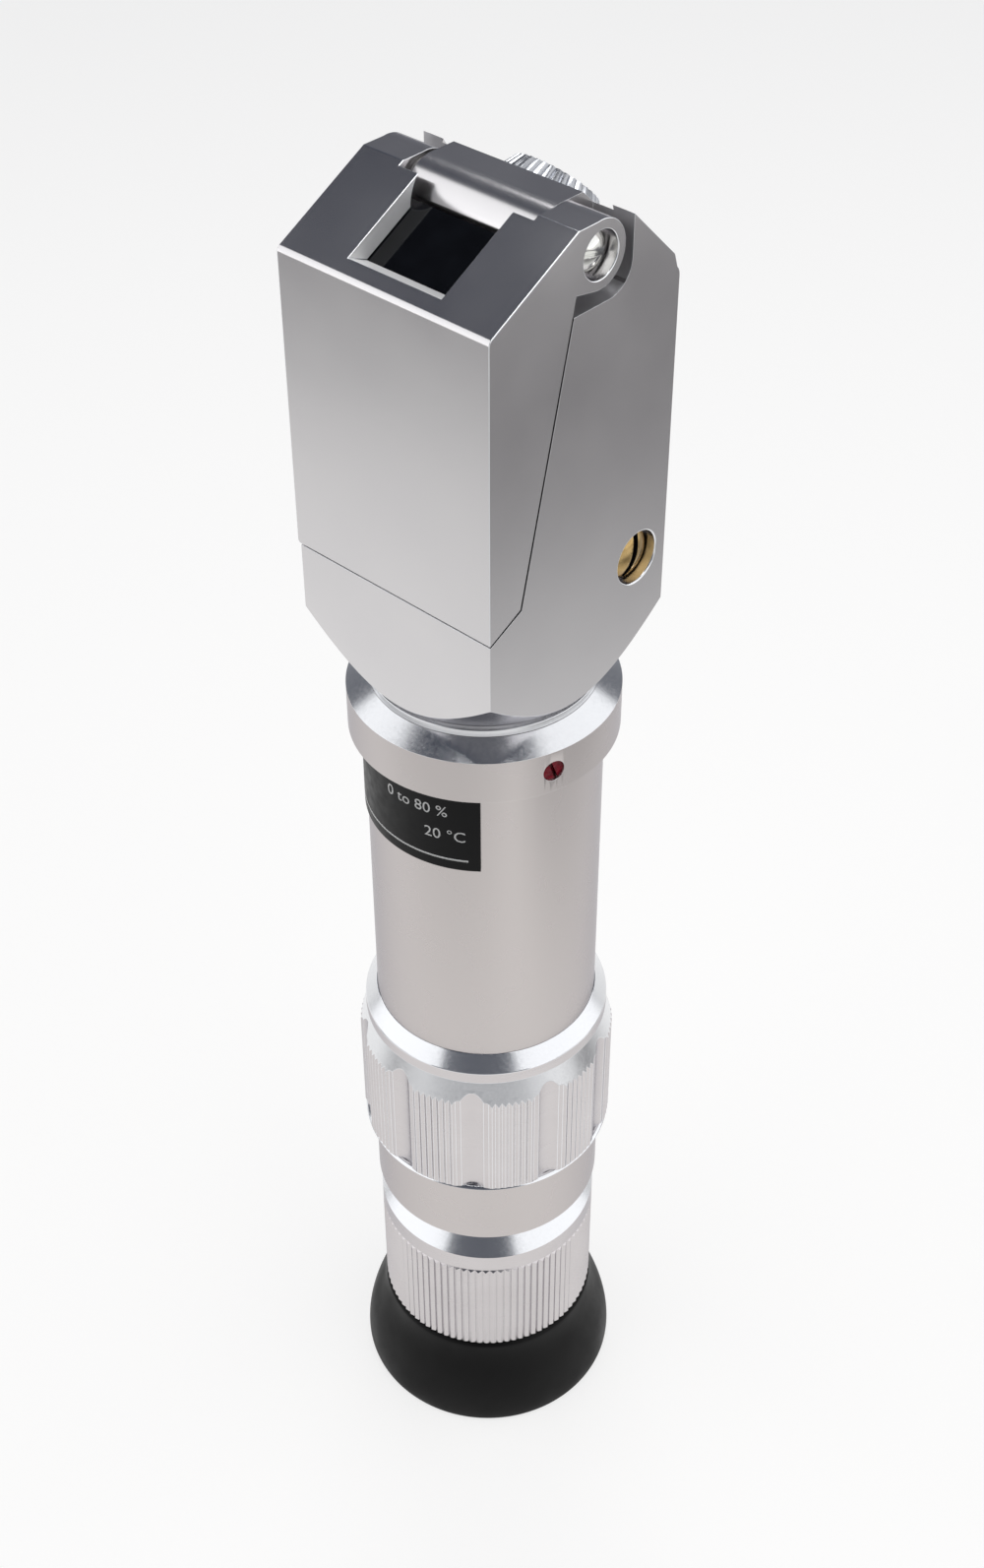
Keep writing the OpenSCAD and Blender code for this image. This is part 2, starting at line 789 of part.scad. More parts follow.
module lock_screw_hole(r) {
    translate([0, 0, collar_z + collar_h * 0.52])
        rotate([0, 0, lock_screw_turn])
            translate([tube_bore_r + 0.4, 0, 0])
                rotate([0, 90, 0])
                    cylinder(r = r, h = 10);
}

// Collar: turned ring that joins the tube and the head
module collar() {
    color("#cfcac9")
        difference() {
            turned([
                [tube_r + fit_gap, collar_z],
                [collar_r, collar_z],
                [collar_r, collar_top_z],
                [neck_r, collar_top_z + collar_bevel_h],
                [tube_bore_r, collar_top_z + collar_bevel_h],
                [tube_bore_r, collar_top_z - 0.6 + fit_gap],
                [tube_r + fit_gap, collar_top_z - 0.6 + fit_gap]
            ]);
            lock_screw_hole(lock_screw_r + fit_gap);
        }
}

// Slotted set screw under red lacquer in the collar
module collar_lock_screw() {
    color("#8c1f28")
        translate([0, 0, collar_z + collar_h * 0.52])
            rotate([0, 0, lock_screw_turn])
                translate([tube_bore_r + 0.45, 0, 0])
                    rotate([0, 90, 0])
                        difference() {
                            cylinder(r = lock_screw_r, h = collar_r - tube_bore_r - 0.8);
                            rotate([0, 0, 20])
                                translate([-2, -0.22, collar_r - tube_bore_r - 1.5])
                                    cube([4, 0.44, 2]);
                        }
}

// Neck ring: threaded union with a light lip between collar and head
module neck_ring() {
    color("#e2dfdd")
        turned([
            [objective_r + cell_wall, collar_z - neck_grip],
            [tube_bore_r - fit_gap, collar_z - neck_grip],
            [tube_bore_r - fit_gap, neck_z],
            [neck_r, neck_z],
            [neck_r, neck_z + neck_h],
            [tube_bore_r - fit_gap, neck_z + neck_h],
            [tube_bore_r - fit_gap, head_z + 5.4],
            [objective_r + cell_wall, head_z + 5.4]
        ]);
}

// Cell for the objective lenses, screwed into the neck ring
module objective_cell() {
    color("#1d1d1f")
        turned([
            [objective_r - 0.9, collar_z - 2.5],
            [objective_r + cell_wall - fit_gap, collar_z - 2.5],
            [objective_r + cell_wall - fit_gap, collar_z + 8.5],
            [objective_r + fit_gap, collar_z + 8.5],
            [objective_r + fit_gap, collar_z - 1],
            [objective_r - 0.9, collar_z - 1]
        ]);
}

// Front lens of the objective
module objective_front_lens() {
    color("#a8c4cc", 0.4)
        lens(objective_r, 1.4, 0.9, 0.9, collar_z + 2.15);
}

// Rear lens of the objective
module objective_rear_lens() {
    color("#a8c4cc", 0.4)
        lens(objective_r, 3, 0, -0.95, collar_z - 0.95);
}

// Threaded ring above the objective lenses
module objective_retainer() {
    color("#1d1d1f")
        ring(objective_r - fit_gap, objective_r - 1.2, collar_z + 3.83, 2.4);
}

// Outline of the head behind the cover, without the ear pockets
function head_outline() = [
    [-half, head_z],
    [-half, foot_z - parting_gap / 2],
    [part_y, part_z - parting_gap / 2],
    [part_y + (hinge_z - 2 - part_z) * tan(sample_lean), hinge_z - 2],
    [hinge_y, hinge_z],
    [hinge_y, top_z],
    [slope_sum - top_z, top_z],
    [half - 1, slope_sum - half + 1],
    for (a = [45 : -11.25 : 0])
        [half - 1.6 + 1.6 * cos(a), slope_sum - half - 0.66 - 1.6 * (sin(45) - sin(a))],
    [half, head_z]
];

// Room for the ear on one side of the hinge
module ear_pocket(x0, x1) {
    translate([x0, 0, 0])
        rotate([90, 0, 90])
            linear_extrude(height = x1 - x0)
                difference() {
                    translate([-half - 1, pocket_z])
                        square([pocket_y + half + 1, 20]);
                    translate([pocket_y - pocket_corner, pocket_z - 1])
                        difference() {
                            square([pocket_corner + 1, pocket_corner + 1]);
                            translate([0, pocket_corner + 1])
                                circle(r = pocket_corner);
                        }
                }
}

// Prism box: the square head with its turned lower end and hinge knuckle
module prism_box() {
    color("#c4c1c0")
        difference() {
            union() {
                intersection() {
                    yz_block(head_outline(), -half, half);
                    turned([
                        [0, head_z],
                        [head_turn_r, head_z],
                        [head_w, head_z + (head_w - head_turn_r) * head_turn_slope],
                        [head_w, top_z + 5],
                        [0, top_z + 5]
                    ]);
                }
                x_rod(knuckle_r, knuckle_left, knuckle_right, hinge_y, hinge_z);
            }
            ear_pocket(knuckle_right, half + 1);
            ear_pocket(-half - 1, knuckle_left);
            on_slope()
                cylinder(r = slope_recess_r, h = 5);
            head_cavity();
            carrier_seat();
            window_seat();
            zero_screw_seat();
            for (side = [-1, 1])
                x_rod(hinge_pin_r - 0.3 + fit_gap, side > 0 ? 4 : -15, side > 0 ? 15 : -4, hinge_y, hinge_z);
        }
}

// Cavity of the head, open to the tube below
module head_cavity() {
    run = tan(sample_lean);
    back = 3.6 / cos(sample_lean);
    translate([0, 0, head_z - 1])
        cylinder(r = tube_bore_r, h = 9);
    yz_block([
        [-half + 3.5, head_z + 7.6],
        [-half + 3.5, foot_z - 2.5],
        [part_y + back, part_z - 0.3],
        [part_y + back + (cavity_top - part_z) * run, cavity_top],
        [recess_sum - 6.4 - cavity_top, cavity_top],
        [cavity_back, recess_sum - 6.4 - cavity_back],
        [cavity_back, head_z + 7.6]
    ], -cavity_hw, cavity_hw);
    for (side = [-1, 1])
        x_rod(0.9 + fit_gap, side > 0 ? cavity_hw - 1 : -cavity_hw - 2.4,
            side > 0 ? cavity_hw + 2.4 : 1 - cavity_hw, 0, zero_z);
}

// Seat and opening for the prism carrier in the sample plane
module carrier_seat() {
    on_sample_plane() {
        translate([-carrier_hw - 0.1, -2, carrier_u - 0.1])
            cube([2 * carrier_hw + 0.2, 2 + carrier_t + fit_gap, carrier_len + 0.2]);
        translate([-cheek_x - 0.3, 0, prism_u - 1])
            cube([2 * cheek_x + 0.6, 8, prism_len + 2]);
        carrier_screw_places(carrier_screw_r - 0.4 + fit_gap, carrier_t - 1, 4.6);
    }
}

// Rods at the four corners of the prism carrier
module carrier_screw_places(r, y0, h) {
    for (x = [-1, 1], u = [0, 1])
        translate([x * (carrier_hw - 1.6), y0, carrier_u + 1.4 + u * (carrier_len - 2.8)])
            rotate([-90, 0, 0])
                cylinder(r = r, h = h);
}

// Bore for the window frame and the light path behind it
module window_seat() {
    on_slope() {
        translate([0, 0, -frame_t - pane_t - 2.4])
            cylinder(r = frame_r + fit_gap, h = 10);
        translate([0, 0, -14])
            cylinder(r = frame_r - 0.8, h = 14);
    }
}

// Bore and counterbore of the zero screw
module zero_screw_seat() {
    x_rod(zero_pin_r + run_gap, cavity_hw - 1, half + 1, zero_y, zero_z);
    x_rod(zero_head_r + 0.25, zero_thread_x, half + 1, zero_y, zero_z);
}

// Measuring prism behind the sample plane
module measuring_prism() {
    color("#93a8ad", 0.5)
        on_sample_plane()
            translate([0, 0, prism_u])
                yz_block([
                    [0, 0],
                    [0, prism_len],
                    [prism_depth - 0.9, prism_len],
                    [prism_depth, prism_len - prism_end],
                    [prism_foot, 0]
                ], -prism_hw, prism_hw);
}

// Black cement seal round the measuring prism
module prism_seal() {
    color("#161616")
        on_sample_plane()
            difference() {
                translate([-prism_hw - seal_w + fit_gap, 0.08, prism_u - seal_w + fit_gap])
                    cube([2 * (prism_hw + seal_w - fit_gap), carrier_t - 0.7, prism_len + 2 * (seal_w - fit_gap)]);
                translate([-prism_hw - 0.02, -1, prism_u - 0.02])
                    cube([2 * prism_hw + 0.04, 5, prism_len + 0.04]);
            }
}

// Carrier: plate with two cheeks that hold the measuring prism
module prism_carrier() {
    color("#b9b7b6")
        on_sample_plane()
            difference() {
                union() {
                    translate([-carrier_hw, 0, carrier_u])
                        cube([2 * carrier_hw, carrier_t, carrier_len]);
                    for (x = [-1, 1])
                        translate([x > 0 ? prism_hw + 0.05 : -cheek_x, carrier_t - eps, prism_u])
                            cube([cheek_x - prism_hw - 0.05, 3.6, prism_len]);
                }
                translate([-prism_hw - seal_w, -1, prism_u - seal_w])
                    cube([2 * (prism_hw + seal_w), 1 + carrier_t - 0.6, prism_len + 2 * seal_w]);
                translate([-prism_hw - 0.05, -1, prism_u - 0.05])
                    cube([2 * prism_hw + 0.1, 10, prism_len + 0.1]);
                carrier_screw_places(carrier_screw_r + fit_gap, -1, 2.1);
                carrier_screw_places(carrier_screw_r - 0.4 + fit_gap, -1, 6);
            }
}

// Four slotted screws in the prism carrier
module carrier_screws() {
    color("#a5a4a3")
        on_sample_plane()
            difference() {
                union() {
                    carrier_screw_places(carrier_screw_r, 0.1, 1);
                    carrier_screw_places(carrier_screw_r - 0.4, 0.5, 5);
                }
                for (x = [-1, 1], u = [0, 1])
                    translate([x * (carrier_hw - 1.6), 0, carrier_u + 1.4 + u * (carrier_len - 2.8)])
                        rotate([0, 35, 0])
                            translate([-2, -0.5, -0.15])
                                cube([4, 1, 0.3]);
            }
}

// Zero screw: brass screw with an eccentric pin that tilts the wedge cell
module zero_screw() {
    color("#b08d45")
        difference() {
            union() {
                intersection() {
                    x_rod(zero_head_r, zero_thread_x + 0.05, half - 0.4, zero_y, zero_z);
                    translate([half - 0.4 - zero_dome_r, zero_y, zero_z])
                        rotate([0, 90, 0])
                            sphere(r = zero_dome_r);
                }
                x_rod(zero_pin_r, arm_x + arm_w + 0.6, zero_thread_x + 0.1, zero_y, zero_z);
                x_rod(0.8, arm_x - 0.4, arm_x + arm_w + 0.7, zero_y + zero_ecc, zero_z);
            }
            translate([half - zero_slot_d, zero_y, zero_z])
                rotate([-zero_slot_turn, 0, 0])
                    translate([0, -zero_slot_w / 2, -5])
                        cube([2, zero_slot_w, 10]);
        }
}

// Clip that keeps the zero screw in the wall
module zero_screw_clip() {
    color("#8f8f90")
        translate([cavity_hw - 0.7, zero_y, zero_z])
            rotate([0, 90, 0])
                difference() {
                    cylinder(r = zero_pin_r + 0.45, h = 0.6);
                    translate([0, 0, -1])
                        cylinder(r = zero_pin_r + fit_gap, h = 3);
                }
}

// Wedge cell: tilting ring with a forked arm round the eccentric pin
module wedge_cell() {
    color("#b08d45")
        difference() {
            union() {
                translate([0, 0, zero_z - cell_t / 2])
                    cylinder(r = cell_r, h = cell_t);
                translate([arm_x, cell_r - 2.8, zero_z - 2.2])
                    cube([arm_w, cavity_back - cell_r + 2.2, 4.4]);
            }
            translate([0, 0, zero_z - cell_t / 2 + 0.7])
                cylinder(r = cell_r - 1.5, h = 5);
            translate([0, 0, zero_z - 5])
                cylinder(r = cell_r - 2.1, h = 10);
            translate([arm_x - 1, zero_y + zero_ecc - 1.9, zero_z - 0.8 - 0.12])
                cube([arm_w + 2, 8, 1.6 + 0.24]);
            for (side = [-1, 1])
                x_rod(0.9 + run_gap, side > 0 ? cell_r - 4 : -cell_r - 2,
                    side > 0 ? cell_r + 2 : 4 - cell_r, 0, zero_z);
        }
}

// Thin glass wedge in the tilting cell
module wedge_glass() {
    color("#a8c4cc", 0.4)
        translate([0, 0, zero_z - cell_t / 2 + 0.7 + fit_gap])
            cylinder(r = cell_r - 1.5 - fit_gap, h = 0.9);
}

// Ring that holds the glass wedge
module wedge_retainer() {
    color("#1d1d1f")
        difference() {
            ring(cell_r - 1.5 - fit_gap, cell_r - 2.3, zero_z + cell_t / 2 - 0.9, 0.8);
            for (side = [-1, 1])
                x_rod(0.9 + run_gap, side > 0 ? cell_r - 4 : -cell_r - 2,
                    side > 0 ? cell_r + 2 : 4 - cell_r, 0, zero_z);
        }
}

// Two pins on which the wedge cell tilts
module cell_pins() {
    color("#b5a050")
        for (side = [-1, 1])
            x_rod(0.9, side > 0 ? cell_r - 1.3 : -cavity_hw - 2.2,
                side > 0 ? cavity_hw + 2.2 : 1.3 - cell_r, 0, zero_z);
}

// Window frame: fixed disc with two light ports under the knob
module window_frame() {
    color("#b9b7b6")
        on_slope()
            difference() {
                translate([0, 0, -frame_t])
                    cylinder(r = frame_r, h = frame_t);
                translate([0, 0, -frame_t - 1])
                    ports(port_r, port_hub_r, frame_t + 2);
                translate([0, 0, -frame_t - 1])
                    cylinder(r = 0.7, h = frame_t + 2);
                translate([0, -frame_r + 0.55, -0.9])
                    cylinder(r = 0.35 + fit_gap, h = 2);
            }
}

// Clear pane that keeps dust out of the light path
module window_pane() {
    color("#a8c4cc", 0.4)
        on_slope()
            translate([0, 0, -frame_t - pane_t - fit_gap])
                cylinder(r = frame_r - fit_gap, h = pane_t);
}

// Threaded ring that holds the pane from inside
module pane_retainer() {
    color("#1d1d1f")
        on_slope()
            ring(frame_r, frame_r - 0.9, -frame_t - pane_t - 2.2, 2.1);
}

// Pin that stops the knob at both ends of its turn
module shutter_stop() {
    color("#8f8f90")
        on_slope()
            translate([0, -frame_r + 0.55, -0.85])
                cylinder(r = 0.35, h = 1.45);
}

// Shutter knob: conical knurled cap with two light ports
module shutter_knob() {
    color("#c4c1c0")
        on_slope()
            difference() {
                translate([0, 0, 0.12])
                    cylinder(r1 = knob_r, r2 = knob_top_r, h = knob_h);
                for (i = [0 : knob_teeth - 1])
                    rotate([0, 0, i * 360 / knob_teeth])
                        translate([knob_r, 0, 0.12])
                            rotate([0, -atan((knob_r - knob_top_r) / knob_h), 0])
                                knurl_cut();
                rotate([0, 0, 90])
                    ports(port_r, port_hub_r, 6);
                translate([0, 0, -1])
                    cylinder(r = 0.9 + run_gap, h = 6);
                translate([0, 0, knob_h - 0.6])
                    cylinder(r = 1.5, h = 2);
                rotate([0, 0, 180])
                    stop_groove();
            }
}

// V-shaped groove along the knob's conical rim
module knurl_cut() {
    translate([0, 0, -1])
        linear_extrude(height = 2 * knob_h + 2)
            polygon([[-knob_knurl_d, 0], [1, -1.25], [1, 1.25]]);
}

// Groove under the knob for the stop pin, a quarter turn long
module stop_groove() {
    mid = frame_r - 0.55;
    rotate_extrude(angle = 90)
        translate([mid - 0.45, -1])
            square([0.9, 1.8]);
    for (a = [0, 90])
        rotate([0, 0, a])
            translate([mid, 0, -1])
                cylinder(r = 0.45, h = 1.8);
}

// Shoulder screw on which the knob turns
module knob_screw() {
    color("#a5a4a3")
        on_slope()
            difference() {
                union() {
                    translate([0, 0, -frame_t + 0.1])
                        cylinder(r = 0.7 - fit_gap, h = frame_t);
                    translate([0, 0, 0.02])
                        cylinder(r = 0.9, h = knob_h - 0.5);
                    translate([0, 0, knob_h - 0.55])
                        cylinder(r = 1.4, h = 0.6);
                }
                translate([-2, -0.2, knob_h - 0.3])
                    cube([4, 0.4, 1]);
            }
}

// Where the tangent from a point meets a circle, turned to one side
function tangent_point(p, c, r, turn) =
    let (v = p - c, a = atan2(v[1], v[0]), b = acos(r / norm(v)))
        [c[0] + r * cos(a + turn * b), c[1] + r * sin(a + turn * b)];

// Outline of the cover at the ears, in the YZ plane
function cover_outline() =
    let (run = tan(sample_lean), shift = parting_gap / cos(sample_lean),
        c = [hinge_y, hinge_z], under = [part_y - shift + (hinge_z - 3.24 - part_z) * run, hinge_z - 3.24])
        [
            [-half, foot_z + parting_gap / 2],
            [part_y - shift, part_z + parting_gap / 2],
            under,
            tangent_point(under, c, ear_r, 1),
            c,
            [hinge_y, top_z],
            [cover_top_y, top_z],
            slope_start
        ];

// Point at a distance along the slope and a depth under it
function on_cover_slope(s, depth) = [
    slope_start[0] + s * cos(cover_slope) + depth * sin(cover_slope),
    slope_start[1] + s * sin(cover_slope) - depth * cos(cover_slope)
];

// Outline of the illuminating prism, grown by a clearance
function lit_outline(grow) =
    let (run = tan(sample_lean), shift = (parting_gap + 0.02 - 3 * grow) / cos(sample_lean),
        y0 = -half + cover_wall - grow, u = prism_u - 1 - grow,
        low = [part_y - shift + u * sin(sample_lean), part_z + u * cos(sample_lean)],
        glass = on_cover_slope(0, window_depth - grow),
        c = [hinge_y, hinge_z], reach = notch_r + 0.95 - 3 * grow,
        nose_y = c[0] - (notch_r - glass_nose - 3 * grow) * cos(7))
        [
            low,
            [y0, low[1] - (low[0] - y0) * tan(cover_slope)],
            [y0, glass[1] + (y0 - glass[0]) * tan(cover_slope)],
            [nose_y, glass[1] + (nose_y - glass[0]) * tan(cover_slope)],
            [c[0] - reach * 0.97, c[1] - 1.4],
            [part_y - shift + (c[1] - 5.2 - part_z) * run, c[1] - 5.2]
        ];

// Cover block: hinged wedge with the light window and two ears
module cover_block() {
    left = -half - cover_proud;
    color("#bdbab9")
        difference() {
            union() {
                yz_block(cover_outline(), left, half);
                x_rod(ear_r, left, half, hinge_y, hinge_z);
            }
            x_rod(notch_r, -ear_x, ear_x, hinge_y, hinge_z);
            translate([-ear_x, hinge_y, hinge_z - 1])
                cube([2 * ear_x, 10, 10]);
            yz_block(lit_outline(0.1), -lit_prism_hw - 0.1, lit_prism_hw + 0.1);
            light_window();
            for (side = [-1, 1]) {
                x_rod(hinge_pin_r + run_gap, side > 0 ? 5 : -20, side > 0 ? 20 : -5, hinge_y, hinge_z);
                x_rod(hinge_bore_r, side > 0 ? half - hinge_bore_d : -20,
                    side > 0 ? 20 : hinge_bore_d - half, hinge_y, hinge_z);
            }
            translate([left - 1, -half - 1, foot_z - 1])
                rotate([0, -32, 0])
                    cube([1.6, 8, 2]);
        }
}

// Light window: square opening with a bevelled near wall
module light_window() {
    yz_block([
        on_cover_slope(window_start, -1),
        on_cover_slope(window_start, 0),
        on_cover_slope(window_start + 1.95, window_depth + 0.05),
        on_cover_slope(13, window_depth + 0.05),
        on_cover_slope(14.5, 0),
        on_cover_slope(14.5, -1)
    ], -window_hw, window_hw);
}

// Illuminating prism, cemented in the cover under the window
module illuminating_prism() {
    color("#15171a", 0.9)
        yz_block(lit_outline(0), -lit_prism_hw, lit_prism_hw);
}

// Two slotted screws that carry the cover
module hinge_screws() {
    head_x = half - hinge_bore_d + 0.1;
    color("#c9cdcb")
        for (side = [-1, 1])
            translate([0, hinge_y, hinge_z])
                rotate([0, 90 * side, 0])
                    difference() {
                        union() {
                            translate([0, 0, 4.4])
                                cylinder(r = hinge_pin_r - 0.3, h = 6);
                            translate([0, 0, side > 0 ? knuckle_right + 0.02 : -knuckle_left + 0.02])
                                cylinder(r = hinge_pin_r, h = head_x - ear_x + (side > 0 ? 0.3 : 0.7));
                            translate([0, 0, head_x])
                                intersection() {
                                    cylinder(r = hinge_head_r, h = 1.5);
                                    translate([0, 0, 1.5 - 3.6])
                                        sphere(r = 3.6);
                                }
                        }
                        rotate([0, 0, hinge_slot_turn * side])
                            translate([-hinge_slot_w / 2, -4, head_x + 0.75])
                                cube([hinge_slot_w, 8, 2]);
                    }
}

// Spring washer that takes up the play at the left ear
module hinge_washer() {
    color("#8f8f90")
        translate([-ear_x + 0.07, hinge_y, hinge_z])
            rotate([0, 90, 0])
                difference() {
                    cylinder(r = 3, h = washer_t);
                    translate([0, 0, -1])
                        cylinder(r = hinge_pin_r + run_gap, h = 3);
                }
}

eyecup();
eye_tube();
eye_lens();
inner_eye_lens();
lens_spacer();
eye_lens_retainer();
diopter_pin();
diopter_ring();
diopter_retainer();
eyepiece_barrel();
field_lens();
field_lens_retainer();
focus_pins();
focus_ring();
focus_retainer();
main_tube();
tube_end_ring();
reticle_cell();
reticle();
reticle_retainer();
light_baffle();
label_plate();
collar();
collar_lock_screw();
neck_ring();
objective_cell();
objective_front_lens();
objective_rear_lens();
objective_retainer();
prism_box();
measuring_prism();
prism_seal();
prism_carrier();
carrier_screws();
zero_screw();
zero_screw_clip();
wedge_cell();
wedge_glass();
wedge_retainer();
cell_pins();
window_frame();
window_pane();
pane_retainer();
shutter_stop();
shutter_knob();
knob_screw();
cover_block();
illuminating_prism();
hinge_screws();
hinge_washer();
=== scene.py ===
import json
import math

import bmesh
import bpy
from mathutils import Matrix, Vector


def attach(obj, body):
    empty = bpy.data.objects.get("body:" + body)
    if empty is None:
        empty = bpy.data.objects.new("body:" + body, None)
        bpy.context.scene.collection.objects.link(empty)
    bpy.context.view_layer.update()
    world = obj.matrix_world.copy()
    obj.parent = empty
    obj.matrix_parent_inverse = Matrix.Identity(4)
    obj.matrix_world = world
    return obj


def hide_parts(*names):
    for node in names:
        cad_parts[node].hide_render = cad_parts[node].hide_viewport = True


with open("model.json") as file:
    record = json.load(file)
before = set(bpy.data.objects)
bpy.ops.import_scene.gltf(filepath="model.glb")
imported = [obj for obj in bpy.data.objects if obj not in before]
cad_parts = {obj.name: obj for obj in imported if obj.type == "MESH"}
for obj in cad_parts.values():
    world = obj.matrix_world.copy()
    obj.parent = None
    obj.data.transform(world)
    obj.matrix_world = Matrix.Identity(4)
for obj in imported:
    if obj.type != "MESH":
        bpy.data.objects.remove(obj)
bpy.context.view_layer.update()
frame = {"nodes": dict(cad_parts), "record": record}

# Looks of a hand-held refractometer that stands on its eyecup. Lengths are in
# millimetres, as in the part's source, and turned to metres where a mesh or a
# material needs them. Heights are measured from the eyecup's rim, radii from the
# tube's axis.
MM = 0.001

scene = bpy.context.scene
scene.view_settings.view_transform = "Standard"

# The photograph's viewpoint
CAMERA_PLACE = (142.46, -152.01, 291.86)
CAMERA_AZIMUTH = math.radians(42.888)
CAMERA_DIP = math.radians(40.48)
CAMERA_ROLL = math.radians(-0.214)
FOCAL_LENGTH = 49.09


def place_camera():
    """Puts the camera where the photograph was taken from."""
    ahead = Vector((-math.sin(CAMERA_AZIMUTH), math.cos(CAMERA_AZIMUTH), 0))
    across = Vector((ahead.y, -ahead.x, 0))
    sight = ahead * math.cos(CAMERA_DIP) + Vector((0, 0, -math.sin(CAMERA_DIP)))
    up = across.cross(sight)
    right = across * math.cos(CAMERA_ROLL) + up * math.sin(CAMERA_ROLL)
    top = up * math.cos(CAMERA_ROLL) - across * math.sin(CAMERA_ROLL)
    turn = Matrix((right, top, -sight)).transposed().to_4x4()
    data = bpy.data.cameras.new("camera")
    data.sensor_fit = "VERTICAL"
    data.sensor_height = 36
    data.lens = FOCAL_LENGTH
    data.clip_start = 0.01
    data.clip_end = 20
    camera = bpy.data.objects.new("camera", data)
    camera.matrix_world = Matrix.Translation(Vector(CAMERA_PLACE) * MM) @ turn
    scene.collection.objects.link(camera)
    scene.camera = camera


place_camera()


# Materials
def linear(code):
    """A colour written as sRGB hex, as linear RGBA."""
    parts = [int(code[i:i + 2], 16) / 255 for i in (1, 3, 5)]
    return [c / 12.92 if c <= 0.04045 else ((c + 0.055) / 1.055) ** 2.4 for c in parts] + [1]


def add_node(tree, kind, settings=None, inputs=None, links=None):
    """Adds a node: settings are its properties, inputs its values, links the outputs that feed it."""
    made = tree.nodes.new(kind)
    for key, value in (settings or {}).items():
        setattr(made, key, value)
    for key, value in (inputs or {}).items():
        made.inputs[key].default_value = value
    for key, source in (links or {}).items():
        tree.links.new(source, made.inputs[key])
    return made


def new_material(name, colour, metallic, roughness, **more):
    """A material with its shader set; returns it with its tree, its shader and object coordinates."""
    made = bpy.data.materials.new(name)
    made.use_nodes = True
    tree = made.node_tree
    shader = tree.nodes["Principled BSDF"]
    shader.inputs["Base Color"].default_value = linear(colour)
    shader.inputs["Metallic"].default_value = metallic
    shader.inputs["Roughness"].default_value = roughness
    for key, value in more.items():
        shader.inputs[key.replace("_", " ")].default_value = value
    place = add_node(tree, "ShaderNodeTexCoord").outputs["Object"]
    made.diffuse_color = linear(colour)
    return made, tree, shader, place


def per_metre(size):
    """One over a length in millimetres: the noise scale that gives grains of this size."""
    return 1 / (size * MM)


# Colour of clear-anodised aluminium seen almost edge-on
OXIDE = linear("#d6d6da")


def satin_aluminium(name, dark, light, low, high):
    """Bead-blasted aluminium under clear anodising: the blasting softens every reflection,
    and faint clouds show where it was uneven. The oxide layer darkens it a little where it
    is seen almost edge-on."""
    made, tree, shader, place = new_material(name, light, 1.0, high, Specular_Tint=OXIDE)
    clouds = add_node(tree, "ShaderNodeTexNoise", inputs={"Scale": per_metre(12), "Detail": 3},
                      links={"Vector": place})
    shade = add_node(tree, "ShaderNodeMix", {"data_type": "RGBA"}, {
        6: linear(dark), 7: linear(light)}, {0: clouds.outputs["Fac"]})
    matt = add_node(tree, "ShaderNodeMapRange", inputs={
        "From Min": 0.3, "From Max": 0.7, "To Min": low, "To Max": high,
    }, links={"Value": clouds.outputs["Fac"]})
    tree.links.new(shade.outputs[2], shader.inputs["Base Color"])
    tree.links.new(matt.outputs["Result"], shader.inputs["Roughness"])
    return made


def turned_aluminium(name, dark, light, low, high, depth):
    """Aluminium turned on a lathe and clear anodised: fine rings across the axis,
    drawn 0.25 mm apart because the real 0.05 mm ones are finer than the render shows."""
    made, tree, shader, place = new_material(name, light, 1.0, high, Specular_Tint=OXIDE)
    flat = add_node(tree, "ShaderNodeMapping", inputs={"Scale": (0.02, 0.02, 1)}, links={"Vector": place})
    rings = add_node(tree, "ShaderNodeTexNoise", inputs={"Scale": per_metre(0.25), "Detail": 2},
                     links={"Vector": flat.outputs["Vector"]})
    stains = add_node(tree, "ShaderNodeTexNoise", inputs={"Scale": per_metre(7), "Detail": 3},
                      links={"Vector": place})
    shade = add_node(tree, "ShaderNodeMix", {"data_type": "RGBA"}, {
        6: linear(dark), 7: linear(light)}, {0: stains.outputs["Fac"]})
    matt = add_node(tree, "ShaderNodeMapRange", inputs={
        "From Min": 0.3, "From Max": 0.7, "To Min": low, "To Max": high,
    }, links={"Value": rings.outputs["Fac"]})
    bump = add_node(tree, "ShaderNodeBump", inputs={"Distance": depth * MM},
                    links={"Height": rings.outputs["Fac"]})
    tree.links.new(shade.outputs[2], shader.inputs["Base Color"])
    tree.links.new(matt.outputs["Result"], shader.inputs["Roughness"])
    tree.links.new(bump.outputs["Normal"], shader.inputs["Normal"])
    return made


def cut_aluminium(name, low, high, depth):
    """Aluminium cut bright with a diamond tool and lightly frosted by its finishing bath:
    clear reflections whose borders break up into a fine sparkle."""
    made, tree, shader, place = new_material(name, "#e9eaec", 1.0, high)
    frost = add_node(tree, "ShaderNodeTexNoise", inputs={"Scale": per_metre(0.4), "Detail": 2},
                     links={"Vector": place})
    matt = add_node(tree, "ShaderNodeMapRange", inputs={
        "From Min": 0.3, "From Max": 0.7, "To Min": low, "To Max": high,
    }, links={"Value": frost.outputs["Fac"]})
    bump = add_node(tree, "ShaderNodeBump", inputs={"Distance": depth * MM},
                    links={"Height": frost.outputs["Fac"]})
    tree.links.new(matt.outputs["Result"], shader.inputs["Roughness"])
    tree.links.new(bump.outputs["Normal"], shader.inputs["Normal"])
    return made


